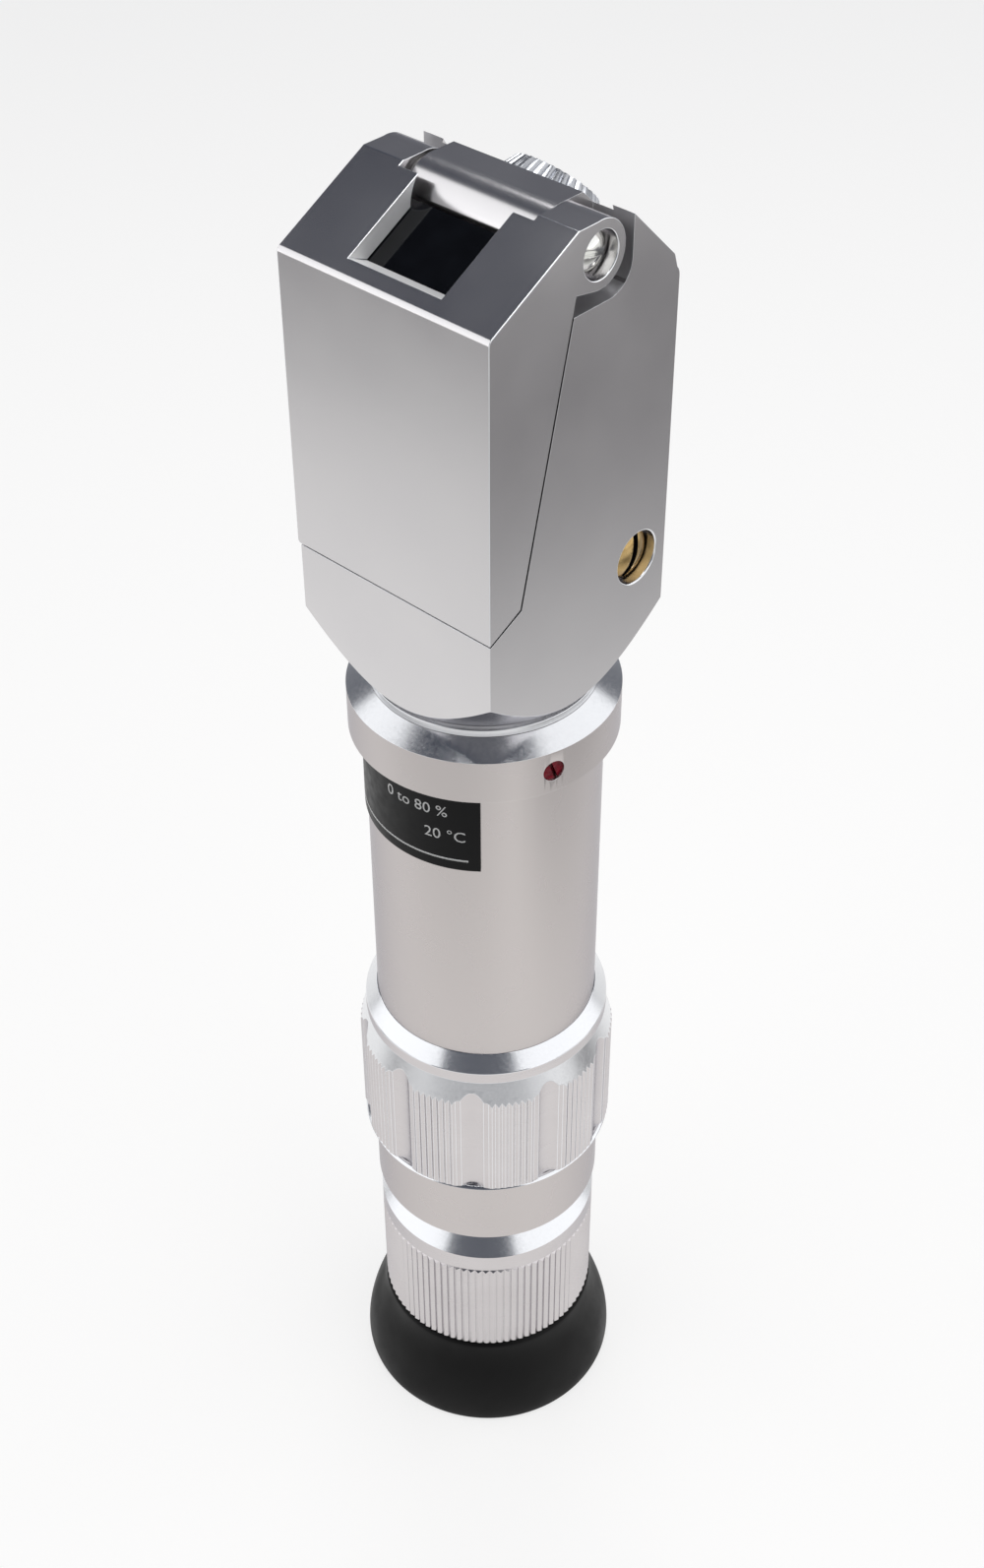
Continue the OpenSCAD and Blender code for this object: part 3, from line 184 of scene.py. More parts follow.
def etched_aluminium(name, dark, light, metallic):
    """Aluminium etched in its finishing bath, in cut-outs that were never blasted: it
    scatters light more than it mirrors it, so it is part metal and part pale crust."""
    made, tree, shader, place = new_material(name, light, metallic, 0.42)
    crust = add_node(tree, "ShaderNodeTexNoise", inputs={"Scale": per_metre(2.5), "Detail": 3},
                     links={"Vector": place})
    shade = add_node(tree, "ShaderNodeMix", {"data_type": "RGBA"}, {
        6: linear(dark), 7: linear(light)}, {0: crust.outputs["Fac"]})
    tree.links.new(shade.outputs[2], shader.inputs["Base Color"])
    return made


def black_rubber():
    """Moulded black rubber with a satin skin, a little dusty where it has been handled."""
    made, tree, shader, place = new_material("moulded black rubber", "#0e0d0d", 0.0, 0.5,
                                             IOR=1.45, Specular_IOR_Level=0.2)
    dust = add_node(tree, "ShaderNodeTexNoise", inputs={"Scale": per_metre(6), "Detail": 4},
                    links={"Vector": place})
    skin = add_node(tree, "ShaderNodeTexNoise", inputs={"Scale": per_metre(0.35), "Detail": 2},
                    links={"Vector": place})
    shade = add_node(tree, "ShaderNodeMix", {"data_type": "RGBA"}, {
        6: linear("#050505"), 7: linear("#0e0d0d")}, {0: dust.outputs["Fac"]})
    matt = add_node(tree, "ShaderNodeMapRange", inputs={
        "From Min": 0.3, "From Max": 0.7, "To Min": 0.42, "To Max": 0.58,
    }, links={"Value": dust.outputs["Fac"]})
    bump = add_node(tree, "ShaderNodeBump", inputs={"Distance": 0.004 * MM},
                    links={"Height": skin.outputs["Fac"]})
    tree.links.new(shade.outputs[2], shader.inputs["Base Color"])
    tree.links.new(matt.outputs["Result"], shader.inputs["Roughness"])
    tree.links.new(bump.outputs["Normal"], shader.inputs["Normal"])
    return made


def black_anodised():
    """Aluminium anodised matt black, as inside an eyepiece: it swallows stray light. The same
    black is also painted into a screw's slot and onto undersides over narrow gaps as painted shade.
    """
    made, tree, shader, place = new_material("matt black anodised aluminium and painted shade", "#0e0e0f", 0.0, 0.6,
                                             Specular_IOR_Level=0.25)
    flat = add_node(tree, "ShaderNodeMapping", inputs={"Scale": (0.02, 0.02, 1)}, links={"Vector": place})
    rings = add_node(tree, "ShaderNodeTexNoise", inputs={"Scale": per_metre(0.3), "Detail": 2},
                     links={"Vector": flat.outputs["Vector"]})
    matt = add_node(tree, "ShaderNodeMapRange", inputs={
        "From Min": 0.3, "From Max": 0.7, "To Min": 0.5, "To Max": 0.7,
    }, links={"Value": rings.outputs["Fac"]})
    tree.links.new(matt.outputs["Result"], shader.inputs["Roughness"])
    return made


def turned_brass():
    """Turned brass, darkened in patches by handling, still bright where it is domed."""
    made, tree, shader, place = new_material("turned brass", "#c9a768", 1.0, 0.22)
    tarnish = add_node(tree, "ShaderNodeTexNoise", inputs={"Scale": per_metre(1.6), "Detail": 4},
                       links={"Vector": place})
    shade = add_node(tree, "ShaderNodeMix", {"data_type": "RGBA"}, {
        6: linear("#8a6c3c"), 7: linear("#e0c48c")}, {0: tarnish.outputs["Fac"]})
    matt = add_node(tree, "ShaderNodeMapRange", inputs={
        "From Min": 0.3, "From Max": 0.7, "To Min": 0.14, "To Max": 0.3,
    }, links={"Value": tarnish.outputs["Fac"]})
    tree.links.new(shade.outputs[2], shader.inputs["Base Color"])
    tree.links.new(matt.outputs["Result"], shader.inputs["Roughness"])
    return made


def plain_metal(name, colour, low, high):
    """Bare or plated steel of screws, pins and clips, with scratches 0.3 mm apart."""
    made, tree, shader, place = new_material(name, colour, 1.0, high)
    along = add_node(tree, "ShaderNodeMapping", inputs={"Scale": (1, 0.15, 1)}, links={"Vector": place})
    scratch = add_node(tree, "ShaderNodeTexNoise", inputs={"Scale": per_metre(0.3), "Detail": 3},
                       links={"Vector": along.outputs["Vector"]})
    matt = add_node(tree, "ShaderNodeMapRange", inputs={
        "From Min": 0.3, "From Max": 0.7, "To Min": low, "To Max": high,
    }, links={"Value": scratch.outputs["Fac"]})
    tree.links.new(matt.outputs["Result"], shader.inputs["Roughness"])
    return made


def red_lacquer():
    """Sealing lacquer that ran over a slotted set screw: wet-looking, thick and uneven."""
    made, tree, shader, place = new_material("red sealing lacquer", "#8a0c20", 0.0, 0.1, IOR=1.5,
                                             Specular_IOR_Level=0.2)
    runs = add_node(tree, "ShaderNodeTexNoise", inputs={"Scale": per_metre(0.7), "Detail": 3},
                    links={"Vector": place})
    shade = add_node(tree, "ShaderNodeMix", {"data_type": "RGBA"}, {
        6: linear("#3c020c"), 7: linear("#b01430")}, {0: runs.outputs["Fac"]})
    bump = add_node(tree, "ShaderNodeBump", inputs={"Distance": 0.12 * MM},
                    links={"Height": runs.outputs["Fac"]})
    tree.links.new(shade.outputs[2], shader.inputs["Base Color"])
    tree.links.new(bump.outputs["Normal"], shader.inputs["Normal"])
    return made


def print_layer(name, colour, low, high, level):
    """Printed or lacquered layer on the label plate, very slightly mottled."""
    made, tree, shader, place = new_material(name, colour, 0.0, high, IOR=1.5,
                                             Specular_IOR_Level=level)
    mottle = add_node(tree, "ShaderNodeTexNoise", inputs={"Scale": per_metre(1.2), "Detail": 3},
                      links={"Vector": place})
    matt = add_node(tree, "ShaderNodeMapRange", inputs={
        "From Min": 0.3, "From Max": 0.7, "To Min": low, "To Max": high,
    }, links={"Value": mottle.outputs["Fac"]})
    tree.links.new(matt.outputs["Result"], shader.inputs["Roughness"])
    return made


def optical_glass(name, colour):
    """Polished optical glass, faintly green through its thickness."""
    made, tree, shader, place = new_material(name, colour, 0.0, 0.0, IOR=1.52, Transmission_Weight=1.0)
    haze = add_node(tree, "ShaderNodeTexNoise", inputs={"Scale": per_metre(4), "Detail": 2},
                    links={"Vector": place})
    matt = add_node(tree, "ShaderNodeMapRange", inputs={
        "From Min": 0.4, "From Max": 0.8, "To Min": 0.0, "To Max": 0.03,
    }, links={"Value": haze.outputs["Fac"]})
    tree.links.new(matt.outputs["Result"], shader.inputs["Roughness"])
    return made


def dark_glass():
    """Polished face of the illuminating prism. Behind it lies only the black cement of
    its cavity, so it shows as black glass with clear, faintly clouded reflections."""
    made, tree, shader, place = new_material("polished glass over black cement", "#050607", 0.0, 0.06,
                                             IOR=1.5, Specular_IOR_Level=0.3)
    haze = add_node(tree, "ShaderNodeTexNoise", inputs={"Scale": per_metre(3), "Detail": 3},
                    links={"Vector": place})
    shade = add_node(tree, "ShaderNodeMix", {"data_type": "RGBA"}, {
        6: linear("#020203"), 7: linear("#101216")}, {0: haze.outputs["Fac"]})
    tree.links.new(shade.outputs[2], shader.inputs["Base Color"])
    return made


def black_cement():
    """Matt black cement that seals the prisms, slightly lumpy."""
    made, tree, shader, place = new_material("matt black cement", "#1a1a1a", 0.0, 0.75)
    lumps = add_node(tree, "ShaderNodeTexNoise", inputs={"Scale": per_metre(0.3), "Detail": 3},
                     links={"Vector": place})
    bump = add_node(tree, "ShaderNodeBump", inputs={"Distance": 0.03 * MM},
                    links={"Height": lumps.outputs["Fac"]})
    tree.links.new(bump.outputs["Normal"], shader.inputs["Normal"])
    return made


SATIN = satin_aluminium("bead-blasted anodised aluminium", "#dcdadb", "#e6e4e4", 0.2, 0.23)
TUBE = satin_aluminium("satin anodised tube", "#cac4c2", "#d0cac8", 0.25, 0.3)
GRIP = turned_aluminium("knurled anodised aluminium", "#cfcaca", "#dad6d6", 0.2, 0.28, 0.0003)
KNURL = turned_aluminium("hard-worn knurled knob", "#a2a4a8", "#c4c6ca", 0.24, 0.36, 0.0006)
EDGE = cut_aluminium("diamond-cut bright edge", 0.1, 0.16, 0.0002)
BEVEL = cut_aluminium("frosted bright bevel", 0.17, 0.24, 0.002)
BRIGHT = etched_aluminium("white-etched aluminium", "#e6e6e6", "#f6f6f5", 0.35)
MILLED = etched_aluminium("etched milled pocket", "#b9b8bb", "#c6c6c8", 0.85)
RUBBER = black_rubber()
BLACK_AND_PAINTED_SHADE = black_anodised()
BRASS = turned_brass()
NICKEL = plain_metal("nickel-plated steel", "#e2e2de", 0.1, 0.2)
STEEL = plain_metal("ground steel", "#a9a9a8", 0.28, 0.45)
LACQUER = red_lacquer()
LABEL = print_layer("satin black printed plate", "#0b0b0c", 0.32, 0.46, 0.15)
INK = print_layer("white printing ink", "#e9e9e7", 0.42, 0.56, 0.5)
GLASS = optical_glass("polished lens glass", "#f4fbfb")
PRISM = optical_glass("polished prism glass", "#eef5f5")
DARK = dark_glass()
CEMENT = black_cement()

# What each slot of the record is made of
SLOTS = {
    "satin_aluminium": SATIN, "bright_aluminium": EDGE, "black_anodised": BLACK_AND_PAINTED_SHADE,
    "clear_glass": GLASS, "prism_glass": PRISM, "dark_prism_glass": DARK, "brass": BRASS,
    "steel": STEEL, "nickel": NICKEL, "black_rubber": RUBBER, "black_label": LABEL,
    "red_lacquer": LACQUER, "seal_cement": CEMENT,
}
slot_of = {row["node"]: row["material_slot"] for row in frame["record"]["subparts"]}
body_of = {n: body for body, names in frame["record"]["behaviour"]["bodies"].items() for n in names}

for name, obj in frame["nodes"].items():
    obj.data.materials.clear()
    obj.data.materials.append(SLOTS[slot_of[name]])


# Making pieces
def finish_piece(bm, name, replaced, materials, body=None):
    """Turns a bmesh into a piece that rides with the node it stands for."""
    bmesh.ops.recalc_face_normals(bm, faces=bm.faces)
    mesh = bpy.data.meshes.new(name)
    for face in bm.faces:
        face.smooth = True
    bm.to_mesh(mesh)
    bm.free()
    for material in materials:
        mesh.materials.append(material)
    piece = bpy.data.objects.new(name, mesh)
    scene.collection.objects.link(piece)
    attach(piece, body or body_of[replaced[0]])
    if replaced:
        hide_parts(*replaced)
    return piece


def soften(bm, width, angle, segments, keep=lambda edge: True):
    """Rounds every edge sharper than an angle, by a width in millimetres; returns the new faces."""
    limit = math.radians(angle)
    sharp = [e for e in bm.edges if e.is_manifold and e.calc_face_angle() > limit and keep(e)]
    return bmesh.ops.bevel(bm, geom=sharp, offset=width * MM, offset_type="OFFSET", segments=segments,
                           profile=0.5, affect="EDGES", clamp_overlap=True, material=-1)["faces"]


def copied(node):
    """A copy of a node's solid with its loose triangles joined to flat faces."""
    bm = bmesh.new()
    bm.from_mesh(frame["nodes"][node].data)
    bmesh.ops.remove_doubles(bm, verts=bm.verts, dist=1e-6)
    bmesh.ops.dissolve_limit(bm, angle_limit=math.radians(0.5), verts=bm.verts, edges=bm.edges)
    return bm


def even_out(piece):
    """Shades a piece by its large faces, so that flat ones stay flat beside rounded edges."""
    even = piece.modifiers.new("even shading", "WEIGHTED_NORMAL")
    even.keep_sharp = True
    even.weight = 60


ROUND_ENOUGH = math.radians(6)


def shade_cones(piece):
    """Shades the bevels of a turned ring as true cones, whatever triangles they are made of."""
    bpy.context.view_layer.update()
    graph = bpy.context.evaluated_depsgraph_get()
    mesh = bpy.data.meshes.new_from_object(piece.evaluated_get(graph), preserve_all_data_layers=True,
                                           depsgraph=graph)
    piece.modifiers.clear()
    piece.data = mesh
    normals = [Vector(corner.vector) for corner in mesh.corner_normals]
    for face in mesh.polygons:
        steep = abs(face.normal.z)
        across = face.normal.xy
        if not 0.25 < steep < 0.97 or abs(across.angle_signed(face.center.xy)) > ROUND_ENOUGH:
            continue
        for corner, vertex in zip(face.loop_indices, face.vertices):
            around = mesh.vertices[vertex].co.xy.normalized() * across.length
            normals[corner] = Vector((around.x, around.y, face.normal.z))
    mesh.normals_split_custom_set(normals)


# Edges sharper than this many degrees are rounded, in so many steps. Worn ones take more,
# so that the rounding of all the edges that comes after them leaves them alone.
SHARP_ANGLE = 20
EDGE_STEPS = 2
WORN_STEPS = 6


def zoned(node, name, base, zones=(), width=0.1, edge=None, worn=(), turned=False):
    """A node's solid with its edges broken. Each zone is a material and a test of a face's
    middle and normal, for the surfaces that were finished apart. Each worn part is a width,
    a test of an edge and a material, for edges with a rounding of their own."""
    bm = copied(node)
    materials = [base] + [material for material, test in zones]
    materials += [material for size, test, material in worn] + ([edge] if edge else [])
    for face in bm.faces:
        middle = face.calc_center_median() / MM
        for index, (material, test) in enumerate(zones):
            if test(middle, face.normal):
                face.material_index = index + 1
    for index, (size, test, material) in enumerate(worn):
        for face in soften(bm, size, SHARP_ANGLE, WORN_STEPS, test):
            face.material_index = 1 + len(zones) + index
    for face in soften(bm, width, SHARP_ANGLE, EDGE_STEPS):
        if edge:
            face.material_index = len(materials) - 1
    piece = finish_piece(bm, name, [node], materials)
    even_out(piece)
    if turned:
        shade_cones(piece)


def sloping(low, high):
    """Test for the bevel of a turned ring between two heights."""
    return lambda middle, normal: low < middle.z < high and 0.35 < normal.z < 0.97


def inside(radius):
    """Test for the upright faces of a turned part that are nearer to its axis than a radius."""
    return lambda middle, normal: middle.xy.length < radius and abs(normal.z) < 0.3


def painted_shade_underneath(middle, normal):
    """Test for the undersides that close a narrow gap, which are painted black as the shade in that gap.
    """
    return normal.z < -0.9


# The head's surfaces, as in the part's source
HALF = 15
COVER_FRONT_TOP = 188.8
COVER_SLOPE = math.radians(28)
WINDOW_HALF = 6.66
EAR_X = 9.5
POCKET_FLOOR = 186.5
POCKET_WALL = 6.92
# Upward part of the normal of a 45 degree chamfer
CHAMFER_RISE = math.sin(math.radians(45))
# The bores in the side faces: centre as Y and Z, and how far from it the mouth's edges lie
HINGE = (1.8, 192)
HINGE_MOUTH = 2.9
ZERO_SCREW = (10.05, 150.9)
ZERO_MOUTH = 3.6
# The zero screw's slot: its reach from the screw's axis, and depths below the side face of
# the dome's top, of a level just below its rim, and of one well below the slot's floor
SLOT_REACH = 2.6
DOME_TOP = 0.4
BELOW_RIM = 1.5
BELOW_SLOT = 3
# Heights between which the bevel of each turned ring lies
COLLAR_BEVEL = (131, 133.6)
END_RING_BEVEL = (77, 79.6)
FOCUS_RING_BEVEL = (71, 75.4)
DIOPTER_BEVEL = (36.4, 39.2)
# Radii below which an upright face belongs to the bore of a ring
BARREL_BORE = 15
DIOPTER_BORE = 14.3


def in_window(middle, normal):
    """The walls of the light window, below the cover's slope."""
    rise = Vector((0, -math.sin(COVER_SLOPE), math.cos(COVER_SLOPE)))
    depth = (middle - Vector((0, -HALF, COVER_FRONT_TOP))).dot(rise)
    return abs(middle.x) < WINDOW_HALF + 0.1 and -3 < depth < -0.1 and abs(normal.dot(rise)) < 0.9


def in_pocket(middle, normal):
    """The milled floor and back wall beside each ear."""
    return (abs(middle.x) > EAR_X - 0.3 and middle.z > POCKET_FLOOR - 0.1
            and middle.y < POCKET_WALL + 0.1 and abs(normal.x) < 0.5
            and abs(normal.z - CHAMFER_RISE) > 0.05)


def on_front_edge(edge):
    """The long edge between the cover's front and its slope, which is rounded the most."""
    return all(abs(v.co.y / MM + HALF) < 0.05 and abs(v.co.z / MM - COVER_FRONT_TOP) < 0.05
               for v in edge.verts)


def round_bore(centre, radius):
    """Test for the mouth of a bore in the head's side faces."""
    middle = Vector(centre)
    return lambda edge: all(abs(v.co.x / MM) > HALF - 0.1
                            and (Vector((v.co.y, v.co.z)) / MM - middle).length < radius
                            for v in edge.verts)


def painted_shade_in_slot(centre, radius):
    """Test for the walls and floor of a screw's slot, which are painted black as the shade in the slot.
    """
    middle = Vector(centre)
    return lambda point, normal: (HALF - BELOW_SLOT < point.x < HALF - DOME_TOP
                                  and (Vector((point.y, point.z)) - middle).length < radius
                                  and (abs(normal.x) < 0.3 or point.x < HALF - BELOW_RIM))


zoned("cover_block", "prism_cover", SATIN, [(BRIGHT, in_window)], width=0.2, edge=EDGE, worn=[
    (0.5, on_front_edge, SATIN), (0.15, round_bore(HINGE, HINGE_MOUTH), EDGE)])
zoned("prism_box", "prism_housing", SATIN, [(MILLED, in_pocket)], width=0.16, edge=EDGE, worn=[
    (0.25, round_bore(ZERO_SCREW, ZERO_MOUTH), EDGE)])
zoned("shutter_knob", "knurled_shutter_knob", KNURL, width=0.07, edge=EDGE)
zoned("collar", "lock_collar", TUBE, [(BEVEL, sloping(*COLLAR_BEVEL))], edge=EDGE, turned=True)
zoned("neck_ring", "bright_neck_ring", BEVEL)
zoned("main_tube", "round_tube", TUBE)
# The end ring's underside is painted black as the shade in the gap below it
zoned("tube_end_ring", "bevelled_end_ring", GRIP, [
    (BEVEL, sloping(*END_RING_BEVEL)), (BLACK_AND_PAINTED_SHADE, painted_shade_underneath)], edge=EDGE, turned=True)
zoned("focus_ring", "fluted_focus_ring", GRIP, [
    (BEVEL, sloping(*FOCUS_RING_BEVEL))], width=0.06, edge=EDGE, turned=True)
# The barrel's underside is painted black as the shade in the gap below it
zoned("eyepiece_barrel", "eyepiece_barrel_band", TUBE, [
    (BLACK_AND_PAINTED_SHADE, inside(BARREL_BORE)), (BLACK_AND_PAINTED_SHADE, painted_shade_underneath)], edge=EDGE)
zoned("diopter_ring", "knurled_diopter_ring", GRIP, [
    (BEVEL, sloping(*DIOPTER_BEVEL)), (BLACK_AND_PAINTED_SHADE, inside(DIOPTER_BORE))
], width=0.05, edge=EDGE, turned=True)
zoned("hinge_screws", "slotted_hinge_screws", NICKEL, width=0.08)
# The slot of the zero screw is painted black as the shade in it
zoned("zero_screw", "slotted_zero_screw", BRASS, [
    (BLACK_AND_PAINTED_SHADE, painted_shade_in_slot(ZERO_SCREW, SLOT_REACH))], width=0.08, edge=BRASS)


def spun(outline, foot, steps):
    """A bmesh turned from a half section, whose heights are measured from its foot."""
    bm = bmesh.new()
    points = [bm.verts.new((r * MM, 0, (foot + z) * MM)) for r, z in outline]
    lines = [bm.edges.new(pair) for pair in zip(points, points[1:] + points[:1])]
    bmesh.ops.spin(bm, geom=points + lines, cent=(0, 0, 0), axis=(0, 0, 1),
                   angle=2 * math.pi, steps=steps, use_merge=True)
    bmesh.ops.remove_doubles(bm, verts=bm.verts, dist=1e-7)
    return bm


# Half section of the thin lip that ends the flutes, as radius and height from the ring's foot
LIP_OUTLINE = [(16.9, 0.02), (17.5, 0.02), (17.6, 0.12), (17.25, 0.47), (16.9, 0.47)]
FOCUS_FOOT = 54.2


def turn_lip():
    """The bright lip at the foot of the focus ring."""
    bm = spun(LIP_OUTLINE, FOCUS_FOOT, 180)
    soften(bm, 0.03, SHARP_ANGLE, EDGE_STEPS)
    piece = finish_piece(bm, "focus_ring_lip", [], [EDGE], "focus_ring")
    even_out(piece)


turn_lip()

# Half section of the eyecup, as radius and height from the rim up
EYECUP_OUTLINE = [
    (17.75, 0), (18.75, 0), (19.1, 0.35), (19.24, 1.2), (19.13, 3.2), (18.6, 5.8), (17.7, 8.6),
    (16.7, 11.2), (16.15, 13.2), (15.95, 15), (12, 15), (12, 14), (14.48, 14), (14.48, 11.94),
    (13.45, 11.94), (13.45, 10.77), (14.85, 9.37), (16.35, 6), (17.4, 2.6),
]
CORNER = math.radians(50)


def mould_eyecup():
    """Turns the eyecup's half section and smooths it, with its inner corners kept sharp."""
    bm = spun(EYECUP_OUTLINE, 0, 72)
    crease = bm.edges.layers.float.new("crease_edge")
    for edge in bm.edges:
        if edge.calc_face_angle(0) > CORNER:
            edge[crease] = 0.9
    piece = finish_piece(bm, "rubber_eyecup", ["eyecup"], [RUBBER])
    smooth = piece.modifiers.new("moulded skin", "SUBSURF")
    smooth.levels = 2
    smooth.render_levels = 2


mould_eyecup()

# Print on the label plate: a plain line, the measuring range and the usual temperature.
# The photograph's name and number are left off. The ends of the line and of the words are
# directions about the tube, in degrees.
PLATE_R = 15.35
PRINT_T = 0.03
LINE_Z = 114.4
LINE_W = 0.28
LINE_RIGHT = -54.6
LINE_LEFT = -158
LETTERS = 2.3
RANGE_RIGHT = -64
RANGE_Z = 121.3
TEMPERATURE_RIGHT = -55.5
TEMPERATURE_Z = 117.6


def print_line():
    """Prints the line that runs round the plate under the words."""
    bm = bmesh.new()
    start = math.radians(LINE_LEFT)
    corners = [(r, LINE_Z + dz) for r, dz in ((PLATE_R - PRINT_T, 0), (PLATE_R + PRINT_T, 0),
                                               (PLATE_R + PRINT_T, LINE_W), (PLATE_R - PRINT_T, LINE_W))]
    points = [bm.verts.new((r * MM * math.cos(start), r * MM * math.sin(start), z * MM))
              for r, z in corners]
    face = bm.faces.new(points)
    bmesh.ops.spin(bm, geom=[face] + list(face.edges) + points, cent=(0, 0, 0), axis=(0, 0, 1),
                   angle=math.radians(LINE_RIGHT - LINE_LEFT), steps=48, use_merge=False)
    finish_piece(bm, "printed_line", [], [INK], "head_and_tube")


def print_words(words, name, right, base):
    """Prints words round the plate, ending at an angle, with their base at a height."""
    curve = bpy.data.curves.new(name, "FONT")
    curve.body = words
    curve.size = LETTERS * MM
    curve.align_x = "RIGHT"
    curve.extrude = PRINT_T * MM
    curve.resolution_u = 3
    writing = bpy.data.objects.new(name + "_words", curve)
    scene.collection.objects.link(writing)
    bpy.context.view_layer.update()
    bm = bmesh.new()
    bm.from_mesh(bpy.data.meshes.new_from_object(writing))
    bpy.data.objects.remove(writing)
    for v in bm.verts:
        turn = math.radians(right) + v.co.x / (PLATE_R * MM)
        reach = PLATE_R * MM + v.co.z
        v.co = (reach * math.cos(turn), reach * math.sin(turn), base * MM + v.co.y)
    finish_piece(bm, name, [], [INK], "head_and_tube")


print_line()
print_words("0 to 80 %", "printed_range", RANGE_RIGHT, RANGE_Z)
print_words("20 °C", "printed_temperature", TEMPERATURE_RIGHT, TEMPERATURE_Z)

# Floor, light and surroundings
FLOOR_HALF = 3000
# A pool of light is painted on the paper: it runs along the camera's line of sight and lies a
# little to its left. It fades between two distances from its middle line, and it widens with
# the distance: at its spread behind the tube it is twice as wide as beside it.
POOL_EDGES = (145, 385)
POOL_SHIFT = 70
POOL_SPREAD = 452
POOL_NARROWEST = 0.6
# The painted dark patches of shade on both sides of the pool fade out to the side and in depth
PATCH_ENDS = (430, 600)
PATCH_SIDES = (120, 300)
# Painted shade darkens the paper a little in front of the tube, towards a direction beside the camera
FRONT_TURN = math.radians(30)
FRONT_EDGES = (70, 190)
FRONT_SHADE = 0.3
PAPER_GLOW = 0.73
LAMP_AIM = 120


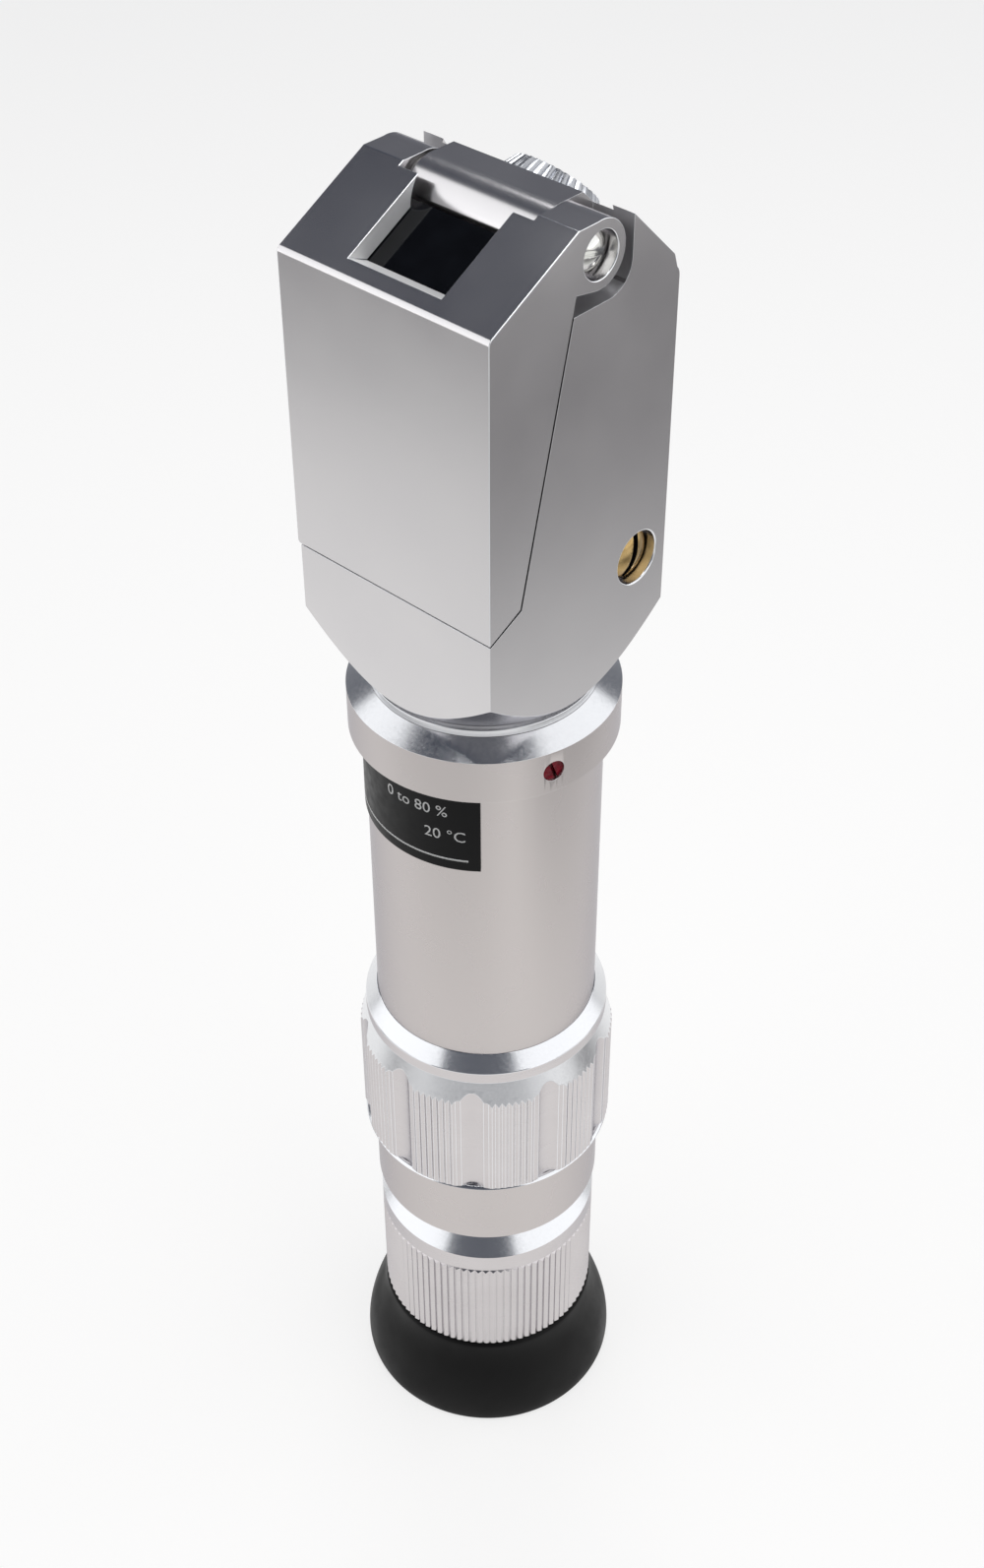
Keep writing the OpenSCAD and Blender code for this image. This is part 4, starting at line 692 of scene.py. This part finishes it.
def lay_floor():
    """White paper with a painted pool of light that lies more to the camera's left, in its colour
    and in its glow. It has a soft painted patch of shade at each side, which the flat faces of
    the head mirror, and painted shade darkens it a little towards the front left, which the
    middle of the tube mirrors. The camera sees neither."""
    bm = bmesh.new()
    bmesh.ops.create_grid(bm, x_segments=1, y_segments=1, size=FLOOR_HALF * MM)
    mesh = bpy.data.meshes.new("floor")
    bm.to_mesh(mesh)
    bm.free()
    floor = bpy.data.objects.new("floor", mesh)
    scene.collection.objects.link(floor)
    made, tree, shader, place = new_material("paper floor with painted light and shade", "#bcbcbc", 0.0, 0.9)
    along = add_node(tree, "ShaderNodeMapping", {"vector_type": "TEXTURE"}, {
        "Rotation": (0, 0, CAMERA_AZIMUTH)}, {"Vector": place})
    parts = add_node(tree, "ShaderNodeSeparateXYZ", links={0: along.outputs["Vector"]})
    spread = add_node(tree, "ShaderNodeMath", {"operation": "MULTIPLY_ADD"}, {
        1: per_metre(POOL_SPREAD), 2: 1}, {0: parts.outputs["Y"]})
    wide = add_node(tree, "ShaderNodeMath", {"operation": "MAXIMUM"}, {1: POOL_NARROWEST},
                    {0: spread.outputs["Value"]})
    aside = add_node(tree, "ShaderNodeMath", {"operation": "DIVIDE"}, links={
        0: parts.outputs["X"], 1: wide.outputs["Value"]})
    shifted = add_node(tree, "ShaderNodeMath", {"operation": "ADD"}, {1: POOL_SHIFT * MM},
                       {0: aside.outputs["Value"]})
    reach = add_node(tree, "ShaderNodeMath", {"operation": "ABSOLUTE"},
                     links={0: shifted.outputs["Value"]})
    pool = add_node(tree, "ShaderNodeMapRange", {"interpolation_type": "SMOOTHSTEP"}, {
        "From Min": POOL_EDGES[0] * MM, "From Max": POOL_EDGES[1] * MM, "To Min": 0, "To Max": 1,
    }, {"Value": reach.outputs["Value"]})
    far = add_node(tree, "ShaderNodeMapRange", {"interpolation_type": "SMOOTHSTEP"}, {
        "From Min": PATCH_ENDS[0] * MM, "From Max": PATCH_ENDS[1] * MM, "To Min": 1, "To Max": 0,
    }, {"Value": reach.outputs["Value"]})
    deep = add_node(tree, "ShaderNodeMath", {"operation": "ABSOLUTE"}, links={0: parts.outputs["Y"]})
    near = add_node(tree, "ShaderNodeMapRange", {"interpolation_type": "SMOOTHSTEP"}, {
        "From Min": PATCH_SIDES[0] * MM, "From Max": PATCH_SIDES[1] * MM, "To Min": 1, "To Max": 0,
    }, {"Value": deep.outputs["Value"]})
    strip = add_node(tree, "ShaderNodeMath", {"operation": "MULTIPLY"}, links={
        0: pool.outputs["Result"], 1: far.outputs["Result"]})
    patch = add_node(tree, "ShaderNodeMath", {"operation": "MULTIPLY"}, links={
        0: strip.outputs["Value"], 1: near.outputs["Result"]})
    ahead = add_node(tree, "ShaderNodeVectorMath", {"operation": "DOT_PRODUCT"}, {
        1: (-math.sin(FRONT_TURN), -math.cos(FRONT_TURN), 0)}, {0: along.outputs["Vector"]})
    front = add_node(tree, "ShaderNodeMapRange", {"interpolation_type": "SMOOTHSTEP"}, {
        "From Min": FRONT_EDGES[0] * MM, "From Max": FRONT_EDGES[1] * MM,
        "To Min": 0, "To Max": FRONT_SHADE,
    }, {"Value": ahead.outputs["Value"]})
    dim = add_node(tree, "ShaderNodeMath", {"operation": "MAXIMUM"}, links={
        0: patch.outputs["Value"], 1: front.outputs["Result"]})
    # The paper's colour holds the painted pool of light and the painted shade of the patches and the
    # front
    paper = add_node(tree, "ShaderNodeMix", {"data_type": "RGBA"}, {
        6: linear("#969593"), 7: linear("#484747")}, {0: dim.outputs["Value"]})
    # The glow that camera, mirrored and transmitted rays see holds the same painted light and shade
    glow = add_node(tree, "ShaderNodeMix", {"data_type": "RGBA"}, {
        6: linear("#ffffff"), 7: linear("#787779")}, {0: dim.outputs["Value"]})
    rays = add_node(tree, "ShaderNodeLightPath")
    direct = add_node(tree, "ShaderNodeMath", {"operation": "MAXIMUM"}, links={
        0: rays.outputs["Is Camera Ray"], 1: rays.outputs["Is Glossy Ray"]})
    seen = add_node(tree, "ShaderNodeMath", {"operation": "MAXIMUM"}, links={
        0: direct.outputs["Value"], 1: rays.outputs["Is Transmission Ray"]})
    strength = add_node(tree, "ShaderNodeMath", {"operation": "MULTIPLY"}, {1: PAPER_GLOW},
                        {0: seen.outputs["Value"]})
    tree.links.new(paper.outputs[2], shader.inputs["Base Color"])
    tree.links.new(glow.outputs[2], shader.inputs["Emission Color"])
    tree.links.new(strength.outputs["Value"], shader.inputs["Emission Strength"])
    mesh.materials.append(made)


def soft_box(name, azimuth, height, distance, size, radiance):
    """A rectangular lamp that faces the refractometer, seen from its middle in a direction:
    azimuth to the camera's left is negative, height is above the horizon, in degrees."""
    turn = math.radians(azimuth) + math.atan2(CAMERA_PLACE[1], CAMERA_PLACE[0])
    rise = math.radians(height)
    aim = Vector((0, 0, LAMP_AIM * MM))
    way = Vector((math.cos(turn) * math.cos(rise), math.sin(turn) * math.cos(rise), math.sin(rise)))
    data = bpy.data.lights.new(name, "AREA")
    data.shape = "RECTANGLE"
    data.size, data.size_y = size[0] * MM, size[1] * MM
    data.energy = radiance * math.pi * data.size * data.size_y
    lamp = bpy.data.objects.new(name, data)
    lamp.location = aim + way * distance * MM
    lamp.rotation_euler = (-way).to_track_quat("-Z", "Y").to_euler()
    scene.collection.objects.link(lamp)


def light_world():
    """Dim room: a grey horizon and a bluish dark overhead, which the bevels mirror."""
    world = bpy.data.worlds.new("studio")
    scene.world = world
    world.use_nodes = True
    tree = world.node_tree
    place = add_node(tree, "ShaderNodeTexCoord")
    parts = add_node(tree, "ShaderNodeSeparateXYZ", links={0: place.outputs["Generated"]})
    height = add_node(tree, "ShaderNodeMapRange", inputs={
        "From Min": 0.0, "From Max": 0.72, "To Min": 0, "To Max": 1,
    }, links={"Value": parts.outputs["Z"]})
    shade = add_node(tree, "ShaderNodeMix", {"data_type": "RGBA"}, {
        6: linear("#85878d"), 7: linear("#454852")}, {0: height.outputs["Result"]})
    tree.links.new(shade.outputs[2], tree.nodes["Background"].inputs["Color"])


lay_floor()
light_world()
soft_box("left soft box", azimuth=-80, height=25, distance=750, size=(1170, 830), radiance=1.05)
soft_box("right soft box", azimuth=75, height=30, distance=750, size=(1500, 1000), radiance=1.02)
soft_box("overhead lamp", azimuth=180, height=80, distance=460, size=(160, 420), radiance=5)
